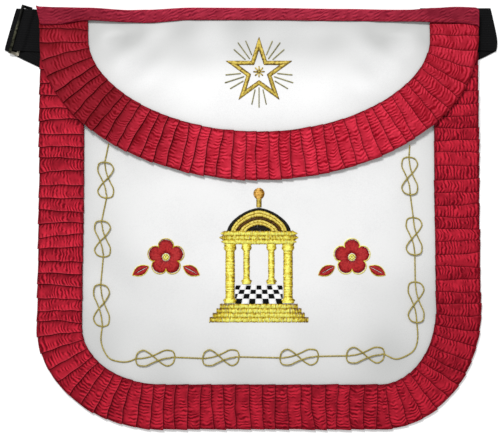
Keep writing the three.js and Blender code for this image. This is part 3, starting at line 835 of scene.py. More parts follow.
def fold_lines(rng, across, start, span, count):
    """Distance along the ribbon of each pleat's free fold, at every place across it."""
    sizes = 1 + rng.uniform(-PITCH_UNEVEN, PITCH_UNEVEN, count)
    folds = start + span * np.concatenate([[0], np.cumsum(sizes)]) / sizes.sum()
    folds = folds[:, None, None]
    skew = rng.normal(0, FOLD_SKEW, folds.shape)
    bow = rng.normal(-0.5, FOLD_BOW, folds.shape)
    lines = folds + skew * (across - 0.5) * 2 + bow * 4 * across * (1 - across)
    lines = lines + FOLD_WIGGLE * wavy(rng, across, 7, 17, folds.shape)
    lines[[0, -1]] = folds[[0, -1]]
    return lines


def pleat_heights(rng, across, place, high):
    """How much each pleat stands up, and its height, which is less under the waistband's ends and
    near the ribbon's inner edge."""
    order = np.arange(len(place))[:, None, None]
    from_end = np.minimum(order, len(place) - 1 - order)
    pressed = lerp(WAIST_PRESS, 1.0, ease((from_end - 1) / 3))
    stand = eased_table(PLEAT_STAND, 1, place) * rng.uniform(0.75, 1.1, place.shape)
    tall = (high - FACE_LOW) * pressed * lerp(0.72, 1.0, stand) * rng.uniform(0.9, 1.04, place.shape)
    return stand, tall * lerp(1.0, 0.8, ease((across - 0.72) / 0.28))


def pleat_shades(rng, across, place, stand, run, rib_shade_table):
    """The ribbon's painted shade, and how uneven its painted light is. It has a painted dark line
    beside each fold, painted soft shade past it where the pleats stand up and before it where they
    are gathered, painted shade where its ribs face away from the light, and full painted shade
    where it is hidden."""
    past_fold = np.clip(run - 0.026, 0, None)
    before_fold = np.clip(1 - run, 0, None)
    seen = (run >= 0) & (np.arange(len(run))[:, None] < FACE_STATIONS)
    uneven = 0.8 + 0.2 * wavy(rng, across, 4, 9, place.shape)
    gathered = 0.8 * ease(1 - np.abs(place - 0.5) / 0.22)
    painted_line_shade = np.exp(-past_fold / LINE_FADE) * lerp(0.7, 1.0, stand) * (1 - 0.2 * gathered)
    painted_soft_shade = np.exp(-past_fold / PAST_FADE) * 0.78 * stand * uneven
    painted_soft_shade = painted_soft_shade + np.exp(-before_fold / BEFORE_FADE) * 0.62 * gathered * uneven
    painted_rib_shade = eased_table(rib_shade_table, 1, place) * rng.uniform(0.92, 1.08, place.shape)
    bright = (1 - painted_line_shade) * (1 - np.clip(painted_soft_shade, 0, 0.9)) * (1 - painted_rib_shade)
    return np.where(seen, 1 - bright, 1), uneven


def pleated_ribbon(name, node, edge, width, pitch, columns, level, high, seed, material, rib_shade_table):
    """A ribbon laid in knife pleats that overlap like shingles along the edge. Pleats differ a
    little in pitch, height and outset, and their folds are skewed and bowed. The ribbon carries a
    painted highlight near its folds and painted shade in its valleys, along its edges and where its
    ribs face away from the light, as its table says. Arrays have three axes: pleats, stations of the
    section, and places across the ribbon."""
    rng = np.random.default_rng(seed)
    run, forward, rise, drop, near_fold = pleat_section()
    start = PLEAT_TUCK * pitch * 1.2
    count = round((edge.length - start) / pitch)
    across = np.linspace(0, 1, columns + 1)
    place = np.linspace(0, 1, count + 1)[:-1, None, None]
    lines = fold_lines(rng, across, start, edge.length - start - 1, count)
    stand, height = pleat_heights(rng, across, place, high)
    own = rng.uniform(0, 1, place.shape)
    outset = rng.uniform(0.1, 1.2, (count, 1, 2)) * [1.0, 0.6]
    ruffle = FACE_RUFFLE * wavy(rng, across, 9, 21, place.shape)

    distance = lines[:-1] + run * (lines[1:] - lines[:-1]) + forward
    z = FACE_LOW + height * rise + drop + ruffle * rise * (1 - rise) * 4
    outward = outset[..., np.where(across < 0.5, 0, 1)] * rise * (2 * across - 1) ** 9
    x, y = edge.at(distance, across * width + outward)
    grid = np.stack([x, y, level(x, y) + z], -1).reshape(-1, columns + 1, 3)
    thick = normals(grid) * RIBBON_THICK / 2
    points = np.concatenate([grid + thick, grid - thick])

    section = np.concatenate([run * pitch + forward, rise * (high - FACE_LOW) + drop], axis=1)
    length = travelled(section)[:, None]
    pleat_length = float(length[-1, 0]) + FOLD_RADIUS
    shade, uneven = pleat_shades(rng, across, place, stand, run, rib_shade_table)
    u = np.arange(count)[:, None, None] * pleat_length + length + 0 * across
    v = across * width + 0 * u
    # Painted shade along both edges of the ribbon.
    painted_edge_shade = np.exp(-np.minimum(v, width - v) / 0.5) * 0.8
    # Painted highlight near each free fold.
    fold = near_fold * stand * uneven
    arc = rng.uniform(0.2, 2.4, place.shape) * (2 * np.clip(run, 0, 1) - 1) ** 2
    lay = np.stack([u, v - arc, own + 0 * u], -1)
    # The depth attribute holds the painted shade and the fold attribute the painted highlight.
    marks = {"lay": lay, "fold": fold, "depth": np.maximum(shade, painted_edge_shade)}
    attributes = {key: both_faces(values) for key, values in marks.items()}
    faces = [sheet_quads(len(grid), columns + 1)]
    made = piece(name, points, faces, material, [node], attributes, sharp=70)
    return made, (width * MM, float(count * pleat_length) * MM)


def body_border():
    made, flat = pleated_ribbon(
        "body_pleats", "body_border", body_edge(), BODY_RIBBON_WIDTH, BODY_PLEAT_PITCH, columns=12,
        level=body_border_level, high=BODY_PLEAT_TALL, seed=21, material=body_moire, rib_shade_table=BODY_RIB_SHADE,
    )


def flap_border():
    made, flat = pleated_ribbon(
        "flap_pleats", "flap_border", flap_edge(), FLAP_RIBBON_WIDTH, FLAP_PLEAT_PITCH, columns=14,
        level=flap_border_level, high=FLAP_PLEAT_TALL, seed=8, material=flap_moire, rib_shade_table=FLAP_RIB_SHADE,
    )


# Waistband


# Across as a share of the half width, rise as a share of the wave, deep as a share of the band's height
BAND_STATIONS = np.array([
    (-1.03, 1.7, 1.42), (-1.0, 1.1, 1.36), (-0.93, 0.9, 1.3), (-0.79, 0.7, 0.97), (-0.6, 0.0, 0.95),
    (-0.52, 0.2, 1.02), (-0.31, 1.0, 0.96), (0.0, 0.9, 0.94), (0.4, 0.5, 0.93), (0.69, 0.0, 0.91),
    (0.8, 0.6, 1.08), (0.9, 1.0, 1.2), (1.03, 0.7, 1.35),
])

# Radius of the band's rounded top
BAND_ROUND = 1.7

# The band's worn right corner: how far it drops and over what length
BAND_CORNER_DROP = 2.2
BAND_CORNER_LONG = 4.0

# The seam: the pitch and length of its stitches, its height over the lip and its unsewn ends
SEAM_PITCH = 2.7
SEAM_STITCH = 0.72 * SEAM_PITCH
SEAM_INSET = 2.1
SEAM_END = 3.0


def band_section(x, top, low, front, inset):
    """Y and Z of the band at an inset from its outer face, along X: up its back from the lip, over
    the rounded top and down its front to the other lip."""
    radius = BAND_ROUND - inset
    back_low = WAIST_Y - BAND_BACK_HEIGHT + 0 * x
    back = BAND_BACK_LEVEL + inset + 0 * x
    ahead = front - inset
    round_y = top - inset - radius
    turn = np.radians(np.linspace(0, 90, 7))
    rise = np.linspace(0, 1, 12)
    rows = [(back_low, back)]
    rows += [(lerp(back_low, round_y, share), back) for share in rise[3::3]]
    rows += [(round_y + radius * np.sin(a), back + radius - radius * np.cos(a)) for a in turn[1:]]
    rows += [(round_y + radius * np.cos(a), ahead - radius + radius * np.sin(a)) for a in turn]
    rows += [(lerp(round_y, low, share), ahead) for share in rise[1:]]
    return np.moveaxis(np.array(rows), 1, 0)


def waistband():
    """A ribbon folded over the waist: a closed section of outer and inner faces with a rounded fold
    at the top and soft lips, carried along X, with shallow pulls across its front."""
    x = np.linspace(-TOP_HALF_WIDTH - BAND_LEFT_OVERHANG, TOP_HALF_WIDTH + BAND_RIGHT_OVERHANG, 260)
    across = x / TOP_HALF_WIDTH
    top = WAIST_Y + CLEARANCE + BAND_WAVE * eased_table(BAND_STATIONS, 1, across) + RIBBON_WALL
    corner_share = np.clip((x - x[-1] + BAND_CORNER_LONG) / BAND_CORNER_LONG, 0, 0.98)
    top = top - BAND_CORNER_DROP * (1 - np.sqrt(1 - corner_share ** 2))
    low = top - BAND_HEIGHT * eased_table(BAND_STATIONS, 2, across)
    front = band_front_level(x) + RIBBON_WALL
    outer_y, outer_z = band_section(x, top, low, front, 0.0)
    inner_y, inner_z = band_section(x, top, low, front, RIBBON_WALL)
    at_left = ease((x[0] + 9 - x) / 9)
    wide = x + at_left * BAND_LEFT_OVERHANG * np.clip((top - outer_y) / (top - low), 0, 1)
    ahead = ease((outer_z - inner_z.mean()) / 1.0) * ease((top - outer_y) / 3)
    pulls = 0.34 * waves(wide * 0.9 + outer_y * 1.4, outer_y * 2.2, 17, long=46.0, short=12.0)
    lip = 0.35 * ease((outer_y - low - 1.6) / -1.6)
    outer_z = outer_z + ahead * (pulls - lip)
    points = np.concatenate([np.stack([wide, outer_y, outer_z], -1), np.stack([wide, inner_y, inner_z], -1)])
    steps = np.hypot(np.diff(outer_y, axis=0), np.diff(outer_z, axis=0))
    around = np.concatenate([np.zeros((1, len(x))), np.cumsum(steps, axis=0)])
    diagonal = around + wide * 0.35
    lay = np.stack([wide, diagonal, 0.5 + 0 * wide], -1)
    # Painted shade: a dark line along the lower lip, and darker towards the lower corners and the ends.
    painted_lip_shadow = np.exp(-(around[-1] - around) / 0.6) * 0.8
    corner = ease((np.abs(wide) - 158) / 30) * ease((7 - (outer_y - low)) / 7) * 0.45
    ends = ease((np.abs(wide) - 90) / 70) * 0.4
    shade = np.maximum(painted_lip_shadow, np.maximum(corner, ends) * (1 + 0.3 * waves(wide, outer_y * 3, 37)))
    # A faint painted highlight along the rounded top fold.
    fold = 0.12 * np.exp(-np.abs(outer_y - top) / 0.8)
    attributes = {"lay": both_faces(lay), "fold": both_faces(fold), "depth": both_faces(shade)}
    made = piece(
        "waist_ribbon", points, [sheet_quads(*outer_y.shape)], band_moire, ["waistband"],
        attributes, sharp=60,
    )
    seam(x, low, outer_z[-1])


def seam(x, low, level):
    """A row of machine stitches along the band, a little above its lower lip."""
    def band_face(along, _):
        return np.interp(along, x, level) + 0.3

    at = np.arange(x[0] + SEAM_END, x[-1] - SEAM_END, SEAM_PITCH)
    after = at + SEAM_STITCH
    work = Stitching("band_seam", band_face, red_thread, "red_thread", [], 12)
    starts = np.stack([at, np.interp(at, x, low) + SEAM_INSET], axis=1)
    ends = np.stack([after, np.interp(after, x, low) + SEAM_INSET], axis=1)
    work.rows(starts, ends, lift=0.2, ragged=0.05, wide=0.2, high=0.16)
    work.done()


# Belt


# Radius of the half turn at a strap's fold
STRAP_BEND = (STRAP_HIGH - STRAP_LOW) / 2


class Fold:
    """Where a strap folds: its slanted fold line, the way out across it, its outermost point and
    where the half turn starts."""

    def __init__(self, rise_angle, slant_angle, reach):
        self.rise = math.radians(rise_angle)
        self.slant = math.radians(slant_angle)
        self.travel = heading(self.rise)
        self.outward = heading(self.slant)
        self.line = left_of(self.outward)
        self.half_cut = STRAP_WIDTH / 2 / math.cos(self.slant - self.rise)
        self.tip = np.array([TOP_HALF_WIDTH + reach, WAIST_Y - STRAP_BELOW_WAIST])
        self.start = self.tip - self.outward * STRAP_BEND


def left_fold():
    """The left fold stands out far enough for the slide to clear the waistband's end."""
    cut = Fold(LEFT_RISE_ANGLE, LEFT_FOLD_SLANT, 0)
    span = SLIDE_INSET + 2 * SLIDE_BAR + SLIDE_WINDOW + SLIDE_APPROACH + STRAP_WALL
    reach = BAND_LEFT_OVERHANG + cut.half_cut * math.sin(cut.slant) + span * math.cos(cut.slant) + CLEARANCE
    return Fold(LEFT_RISE_ANGLE, LEFT_FOLD_SLANT, reach)


# Distances back from the left fold of the slide's bars, and the strap's lift over the inner one
OUTER_BAR_BACK = SLIDE_INSET
INNER_BAR_BACK = SLIDE_INSET + SLIDE_BAR + SLIDE_WINDOW
SLIDE_EASE = 0.5
SLIDE_LIFTS = np.array([
    (-1.0, 0.0),
    (OUTER_BAR_BACK + SLIDE_BAR + SLIDE_EASE, 0.0),
    (INNER_BAR_BACK - SLIDE_EASE, SLIDE_WALL + CLEARANCE),
    (INNER_BAR_BACK + SLIDE_BAR + SLIDE_EASE, SLIDE_WALL + CLEARANCE),
    (INNER_BAR_BACK + SLIDE_BAR + SLIDE_APPROACH, 0.0),
    (STUB_LENGTH * 2, 0.0),
])


# How much further out the right strap folds than its solid does, how far its lower corner is
# rounded in, and how much shorter the slide's upper end is
RIGHT_FOLD_FURTHER = 1.6
RIGHT_FOLD_ROUND = 3.4
SLIDE_END_IN = 1.5


def bezier(start, first, second, end, share):
    """A cubic Bezier curve's points and its ways, at shares from 0 to 1."""
    t = share[:, None]
    place = (1 - t) ** 3 * start + 3 * (1 - t) ** 2 * t * first + 3 * (1 - t) * t * t * second + t ** 3 * end
    way = (1 - t) ** 2 * (first - start) + 2 * (1 - t) * t * (second - first) + t * t * (end - second)
    return place, unit(way)


def strap_out(fold, lifts):
    """Out from the sewn end to the fold. The strap's cut goes from square to slanted. This and the
    next two give the distance from the fold, the middle, half the cut, the level and the normal."""
    near = INNER_BAR_BACK + SLIDE_BAR + SLIDE_APPROACH + 2
    back = np.concatenate([np.linspace(STUB_LENGTH, near, 14)[:-1], np.linspace(near, 0, 40)])
    turned = ease((STUB_LENGTH - back) / (STUB_LENGTH - near))[:, None]
    out = (STRAP_BEND - back)[:, None] * fold.travel / math.cos(fold.slant - fold.rise)
    half = lerp(left_of(fold.travel) * STRAP_WIDTH / 2, fold.line * fold.half_cut, turned)
    return back, fold.start + out, half, STRAP_HIGH + lifts(back), [0.0, 0.0, 1.0] + 0 * turned


def strap_turn(fold):
    """The half turn about the slanted fold line."""
    angle = np.linspace(0, np.pi, 15)[1:, None]
    slip = math.tan(fold.rise - fold.slant)
    middle = fold.start + fold.outward * STRAP_BEND * np.sin(angle) + fold.line * STRAP_BEND * angle * slip
    level = STRAP_LOW + STRAP_BEND * (1 + np.cos(angle[:, 0]))
    normal = np.concatenate([fold.outward * np.sin(angle), np.cos(angle)], axis=1)
    return 0 * level, middle, fold.line * fold.half_cut + 0 * angle, level, normal


def strap_home(fold, leave):
    """Back behind the apron on a long curve, from where the half turn ends to the clasp."""
    end = np.array([CLASP_WEB / 2 + CLEARANCE, WAIST_Y - STRAP_BELOW_WAIST - BELT_SAG])
    pull = np.linalg.norm(end - leave) * 0.36
    home = heading(math.pi + 2 * fold.slant - fold.rise)
    curve = (leave, leave + home * pull, end + [pull, 0], end)
    shares = np.linspace(0, 1, 600)
    gone = travelled(bezier(*curve, shares)[0])
    distance = np.linspace(STRAP_WIDTH * math.tan(fold.slant), gone[-1], 80)
    middle, way = bezier(*curve, np.interp(distance, gone, shares))
    rise = ease((distance - gone[-1] + CLASP_RAMP + CLASP_LENGTH / 2) / CLASP_RAMP)
    level = lerp(STRAP_LOW, STRAP_HIGH, rise)
    return distance, middle, left_of(way) * -STRAP_WIDTH / 2, level, [0.0, 0.0, -1.0] + 0 * rise[:, None]


def belt_half(name, node, side, fold, lifts, rounding):
    """A strap from its sewn end out to the fold, a half turn about the slanted fold line, and back
    home to the clasp. Its section is a flat oval of woven webbing. Rounding pulls in the fold's
    lower corner."""
    out = strap_out(fold, lifts)
    turn = strap_turn(fold)
    home = strap_home(fold, turn[1][-1])
    from_fold, middle, half, level, normal = (np.concatenate(parts) for parts in zip(out, turn, home))
    across = np.sin(np.linspace(-np.pi / 2, np.pi / 2, 15))
    corner = np.clip(-across, 0, 1) ** 3
    pulled_in = rounding * np.exp(-((from_fold / 14) ** 2))[:, None] * corner
    plan = middle[:, None] + half[:, None] * across[:, None] - pulled_in[..., None] * fold.outward
    heart = np.concatenate([plan, np.broadcast_to(level[:, None, None], plan.shape[:2] + (1,))], -1)
    thick = STRAP_WALL / 2 * (0.45 + 0.55 * (1 - across ** 8))
    points = np.concatenate([heart + sign * normal[:, None] * thick[:, None] for sign in (1, -1)])
    points[..., 0] *= side
    length = travelled(heart[:, len(across) // 2])
    u = length[:, None] + 0 * across
    v = across * STRAP_WIDTH / 2 + 0 * u
    lay = np.stack([u, v, 0 * u], -1)
    made = piece(
        name, points, [sheet_quads(len(heart), len(across))], black_webbing, [node],
        {"lay": both_faces(lay)}, sharp=60,
    )


def eased_metal(name, node, width, material, shorter=0.0):
    """A merged copy of a metal piece of the frame, with its sharp edges rounded. Its upper end
    can be set closer to the strap, by a length along the left fold."""
    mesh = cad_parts[node].data.copy()
    mesh.name = name
    shape = bmesh.new()
    shape.from_mesh(mesh)
    bmesh.ops.remove_doubles(shape, verts=shape.verts, dist=0.00002)
    bmesh.ops.dissolve_limit(shape, angle_limit=math.radians(1), verts=shape.verts, edges=shape.edges)
    if shorter:
        slant = math.radians(LEFT_FOLD_SLANT)
        along = Vector((math.sin(slant), math.cos(slant), 0))
        end = max(corner.co.dot(along) for corner in shape.verts)
        for corner in shape.verts:
            if corner.co.dot(along) > end - (SLIDE_BAR + 1) * MM:
                corner.co -= along * shorter * MM
    sharp = [edge for edge in shape.edges if edge.is_manifold and edge.calc_face_angle() > math.radians(30)]
    bmesh.ops.bevel(
        shape, geom=sharp, offset=width * MM, offset_type="OFFSET", segments=3, profile=0.5, affect="EDGES",
        clamp_overlap=True,
    )
    bmesh.ops.triangulate(shape, faces=[face for face in shape.faces if len(face.verts) > 4])
    shape.to_mesh(mesh)
    shape.free()
    mesh.materials.clear()
    mesh.materials.append(material)
    mesh.shade_smooth()
    mesh.set_sharp_from_angle(angle=math.radians(35))
    made = add_object(name, mesh)
    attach(made, "root")
    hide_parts(node)


def through_slide(back):
    """Lift of the left strap over the slide's inner bar, by distance back from the fold."""
    return eased_table(SLIDE_LIFTS, 1, back)


def flat_strap(back):
    return 0 * back


def belt():
    belt_half("webbing_left", "belt_left", -1, left_fold(), through_slide, 0.0)
    right_fold = Fold(RIGHT_RISE_ANGLE, RIGHT_FOLD_SLANT, RIGHT_FOLD_REACH + RIGHT_FOLD_FURTHER)
    belt_half("webbing_right", "belt_right", 1, right_fold, flat_strap, RIGHT_FOLD_ROUND)
    eased_metal("slide_frame", "belt_slide", 0.32, slide_steel, shorter=SLIDE_END_IN)
    eased_metal("clasp_plate", "belt_clasp", 0.3, clasp_steel)


# Embroidery

# Distance between stitches, where a stitch has its rings, and where its painted highlight peaks
STITCH_PITCH = 0.46
STRAND_ARCH = np.array([0.0, 0.07, 0.3, 0.5, 0.7, 0.93, 1.0])
LIT_SHARE = 0.44
LAID_CROWN = 0.5


def strands(paths, wide, high, sides=5):
    """Many thread strands at once. Each is a tube along its own path, given as an array of
    strands, stations and XYZ, with a ring of its own width and height at every inner station and
    a pole at each end."""
    number, stations, _ = paths.shape
    way = np.gradient(paths, axis=1)
    sideways = left_of(unit(way[..., :2]))
    side = np.concatenate([sideways, 0 * sideways[..., :1]], -1)
    up = unit(np.cross(way, side))
    turn = np.linspace(0, 2 * np.pi, sides, endpoint=False) + np.pi / sides
    rings = paths[:, 1:-1, None, :] + side[:, 1:-1, None, :] * (wide * np.cos(turn))[:, None]
    rings = rings + up[:, 1:-1, None, :] * (high * np.sin(turn))[:, None]
    inner = stations - 2
    points = np.concatenate([rings.reshape(number, -1, 3), paths[:, [0, -1]]], axis=1)
    quads, caps = tube_quads(inner, sides)
    offset = (np.arange(number) * (inner * sides + 2))[:, None, None]
    return points, [(quads + offset).reshape(-1, 4), (caps + offset).reshape(-1, 3)]


def arched(starts, ends, base, lift, sink=0.12):
    """Paths of satin stitches between two rows of ends: each leaves the cloth, arches over the
    padding by lift and goes back into the cloth. base gives the cloth's level at x and y."""
    t = STRAND_ARCH[None, :, None]
    plan = starts[:, None, :] * (1 - t) + ends[:, None, :] * t
    bow = np.sin(np.pi * STRAND_ARCH) ** 0.55
    level = base(plan[..., 0], plan[..., 1]) - sink + (lift + sink) * bow[None, :]
    return np.concatenate([plan, level[..., None]], -1)


class Stitching:
    """Collects rows of stitches for one embroidered piece, with each strand's own tone."""

    def __init__(self, name, base, material, slot, nodes, seed):
        self.name = name
        self.base = base
        self.material = material
        self.slot = slot
        self.nodes = nodes
        self.rng = np.random.default_rng(seed)
        self.points = []
        self.quads = []
        self.caps = []
        self.tones = []
        self.squares = []
        self.painted_crown_lights = []
        self.size = 0

    def add(self, paths, wide=STITCH_PITCH * 0.62, high=0.2, sides=5, tone=None, square=0.0):
        points, (quads, caps) = strands(paths, wide, high, sides)
        number, each, _ = points.shape
        own = self.rng.uniform(0, 1, number)
        if tone is not None:
            own = own * 0 + tone
        gone = np.cumsum(np.linalg.norm(np.diff(paths, axis=1, prepend=paths[:, :1]), axis=2), axis=1)
        # Painted light along each stitch: brightest at the lit share, shaded towards its ends; laid threads
        # get one even level.
        crown = 1 - np.abs(gone / gone[:, -1:] - LIT_SHARE) / (1 - LIT_SHARE)
        if paths.shape[1] > len(STRAND_ARCH):
            crown = 0 * crown + LAID_CROWN
        inner = np.repeat(crown[:, 1:-1], sides, axis=1)
        self.painted_crown_lights.append(np.clip(np.concatenate([inner, crown[:, [0, -1]]], axis=1), 0, 1).reshape(-1))
        self.points.append(points.reshape(-1, 3))
        self.quads.append(quads + self.size)
        self.caps.append(caps + self.size)
        self.tones.append(np.repeat(own, each))
        self.squares.append(np.full(number * each, square))
        self.size += number * each

    def rows(self, starts, ends, lift=STITCH_HEIGHT, ragged=0.12, **settings):
        """Satin stitches between two rows of ends, each end a little out of line."""
        starts = starts + self.rng.normal(0, ragged, starts.shape)
        ends = ends + self.rng.normal(0, ragged, ends.shape)
        height = lift * self.rng.uniform(0.86, 1.06, len(starts))
        self.add(arched(starts, ends, self.base, height[:, None]), **settings)

    def band(self, outer, inner, **settings):
        """Satin stitches across the strip between two lines of points, at the stitches' pitch."""
        gone = travelled((outer + inner) / 2)
        at = np.arange(STITCH_PITCH / 2, gone[-1], STITCH_PITCH)
        self.rows(places_on(outer, gone, at), places_on(inner, gone, at), **settings)

    def cord(self, plan, radius):
        """A laid thread along a line of places, with its ends in the cloth."""
        level = self.base(plan[:, 0], plan[:, 1]) + radius * 0.7
        path = np.concatenate([plan, level[:, None]], axis=1)
        path[[0, -1], 2] -= radius
        self.add(path[None], wide=radius, high=radius, sides=6)

    def done(self):
        """Makes the piece. It takes its name from the frame's node, if it stands for one."""
        attributes = {"tone": np.concatenate(self.tones), "crown": np.concatenate(self.painted_crown_lights)}
        if any(square.any() for square in self.squares):
            attributes["squares"] = np.concatenate(self.squares)
        faces = [np.concatenate(self.quads), np.concatenate(self.caps)]
        name = f"{self.name}_stitches" if self.nodes else self.name
        points = np.concatenate(self.points)
        piece(name, points, faces, self.material, self.nodes, attributes, sharp=0)


def star_corners(radius, centre):
    """Ten corners of a five-pointed star, its first tip up, and the first one again at the end."""
    waist = radius * math.cos(math.radians(72)) / math.cos(math.radians(36))
    angle = np.radians(90 + 36 * np.arange(11))
    reach = np.where(np.arange(11) % 2, waist, radius)
    return centre + reach[:, None] * heading(angle)


STAR_CENTRE = np.array([0.0, FLAP_LOW_Y + FLAP_RIBBON_WIDTH + STAR_ABOVE_RIBBON])

# How far the star's stitches reach past its stroke, outwards and inwards
STAR_PAST_OUT = 0.8
STAR_PAST_IN = 2.0

# The rays of each gap: turn in degrees from the gap's middle, near end and far end
STAR_RAYS = [(-12.5, 16.0, 30.6), (0, 13.6, 32.8), (12.5, 16.0, 30.6)]
RAY_RADIUS = 0.55

# The floret: where its petals start and end, and its knot's radius
FLORET_START = 1.0
FLORET_END = 5.2
FLORET_KNOT = 1.1


def star():
    """The star's outline: stitches slant across its stroke, from its outer edge to its hole."""
    hole = STAR_RADIUS - STAR_STROKE / math.cos(math.radians(72))
    outer = star_corners(STAR_RADIUS + STAR_PAST_OUT, STAR_CENTRE)
    inner = star_corners(hole - STAR_PAST_IN, STAR_CENTRE)
    work = Stitching("star_embroidery", flap_top, old_gold, "gold_thread", ["star_embroidery"], 3)
    for corner in range(10):
        work.band(outer[corner:corner + 2], inner[corner:corner + 2], ragged=0.07)
    work.done()


def star_rays():
    """Three thin straight stitches in each gap between the star's points, the middle one longest."""
    work = Stitching("star_rays", flap_top, ray_thread, "gold_thread", [], 4)
    for gap in range(5):
        for turn, near, far in STAR_RAYS:
            way = heading(math.radians(54 + 72 * gap + turn))
            work.cord(STAR_CENTRE + np.linspace(near, far, 22)[:, None] * way, RAY_RADIUS)
    work.done()


def star_middle():
    """A small plain floret in the star's middle: eight short petals round a knot."""
    work = Stitching("star_floret", flap_top, old_gold, "gold_thread", [], 6)
    way = heading(np.radians(np.arange(8) * 45))
    starts = STAR_CENTRE + way * FLORET_START
    ends = STAR_CENTRE + way * FLORET_END
    work.rows(starts, ends, lift=0.65, ragged=0.05, wide=0.62, high=0.34)
    knot = way * FLORET_KNOT
    work.rows(STAR_CENTRE + knot, STAR_CENTRE - knot, lift=0.9, ragged=0.05, wide=0.3, high=0.25)
    work.done()


# Temple


# Levels and widths are shares of the temple's height and half width, as in the frame
TEMPLE_HALF = TEMPLE_WIDTH / 2
TEMPLE_Y = FLAP_LOW_Y - TEMPLE_BELOW_FLAP - TEMPLE_HEIGHT
STEPS_TOP = 0.133
FLOOR_TOP = 0.272
BASE_TALL = 0.045
CAPITAL_LOW = 0.53
CAPITAL_TOP = 0.582
DOME_LOW = 0.682
DOME_TOP = 0.855
BALL_MIDDLE = 0.958
DOME_HALF = 0.65
DOME_POWER = 1.6
LINTEL_HALF = 0.8

# The lintel's bands: foot and top as shares of its height, lift and reach as shares of the full ones
LINTEL_BANDS = [(0.6, 1.0, 0.95, 0.97), (0.28, 0.72, 0.6, 1.0), (0.0, 0.4, 0.95, 0.95)]

# How far in mm the dome, the lintel and the steps reach into the row below each of them
BAND_OVERLAP = 0.4
STEP_OVERLAP = 0.5

# The steps: how many, and the width of each one's tread as a share of the temple's half width
STEP_COUNT = 4
STEP_TREAD = 0.07

# Name, half width and height as shares of the outer arch, thread, slot
TEMPLE_ARCHES = [
    ("black", 1.0, 1.0, black_thread, "black_thread"),
    ("gold", 0.88, 0.9, arch_gold, "gold_thread"),
    ("brown", 0.71, 0.62, brown_thread, "brown_thread"),
    ("inner", 0.6, 0.5, arch_gold, "gold_thread"),
    ("shade", 0.38, 0.26, black_thread, "black_thread"),
]

# Name, place aside, foot level and the halves of the base, shaft and capital
TEMPLE_COLUMNS = [
    ("outer_left", -0.585, 0.14, 0.14, 0.098, 0.14),
    ("inner_left", -0.252, 0.283, 0.105, 0.067, 0.115),
    ("inner_right", 0.252, 0.283, 0.105, 0.067, 0.115),
    ("outer_right", 0.59, 0.14, 0.14, 0.098, 0.14),
]


def temple_y(share):
    return TEMPLE_Y + share * TEMPLE_HEIGHT


def gold_work(name, seed):
    return Stitching(name, body_top, gold, "gold_thread", [name], seed)


def level_stitches(work, y, left, right, **settings):
    """Stitches that lie across a shape, from its left edge to its right one at each height."""
    work.rows(np.stack([left, y], axis=1), np.stack([right, y], axis=1), **settings)


def finial():
    """A ball and its neck: level stitches whose lengths follow a circle, then the neck's width."""
    work = Stitching("temple_finial", body_top, amber_gold, "gold_thread", ["temple_finial"], 31)
    radius = TEMPLE_HEIGHT * (1 - BALL_MIDDLE)
    middle = temple_y(BALL_MIDDLE)
    y = np.arange(middle - radius * 0.86, middle + radius * 0.96, STITCH_PITCH)
    half = np.sqrt(np.maximum(radius ** 2 - (y - middle) ** 2, 0.2)) + 0.25
    level_stitches(work, y, -half, half, lift=STITCH_HEIGHT * 1.1, ragged=0.06)
    work.done()
    stem = Stitching("finial_neck", body_top, old_gold, "gold_thread", [], 32)
    neck = np.arange(temple_y(DOME_TOP) + CLEARANCE, middle - radius * 0.86, STITCH_PITCH)
    level_stitches(stem, neck, -radius / 2 + 0 * neck, radius / 2 + 0 * neck, lift=0.7, ragged=0.06)
    stem.done()


def dome_line(wide, high, base_y, count=161):
    """Half of a superellipse: its flanks are straighter than an ellipse's and its top is rounder."""
    angle = np.linspace(0, np.pi, count)
    power = 2 / DOME_POWER
    across = np.sign(np.cos(angle)) * np.abs(np.cos(angle)) ** power
    return np.stack([wide * across, base_y + high * np.sin(angle) ** power], axis=1)


def dome():
    """Nested arches: stitches run from each arch's outer line to the next one's, the gold ones in
    two rows with a groove between."""
    half = TEMPLE_HALF * DOME_HALF
    high = (DOME_TOP - DOME_LOW) * TEMPLE_HEIGHT
    base_y = temple_y(DOME_LOW) - BAND_OVERLAP
    for index, (name, wide, tall, material, slot) in enumerate(TEMPLE_ARCHES):
        node = f"temple_arch_{name}"
        work = Stitching(node, body_top, material, slot, [node], 40 + index)
        outer = dome_line(wide * half, tall * high, base_y)
        if index + 1 < len(TEMPLE_ARCHES):
            following = TEMPLE_ARCHES[index + 1]
            inner = dome_line(following[1] * half - 0.25, following[2] * high - 0.25, base_y)
            if slot == "gold_thread":
                work.band(outer, lerp(outer, inner, 0.58), ragged=0.06, lift=STITCH_HEIGHT * 0.95)
                work.band(lerp(outer, inner, 0.42), inner, ragged=0.06, lift=STITCH_HEIGHT * 0.95)
            else:
                work.band(outer, inner, ragged=0.06, lift=STITCH_HEIGHT * 0.7)
        else:
            x = np.arange(-wide * half + 0.4, wide * half, STITCH_PITCH)
            top = base_y + tall * high * (1 - np.abs(x / (wide * half)) ** DOME_POWER) ** (1 / DOME_POWER)
            work.rows(np.stack([x, base_y + 0 * x], 1), np.stack([x, top], 1), lift=0.5, ragged=0.06)
        work.done()


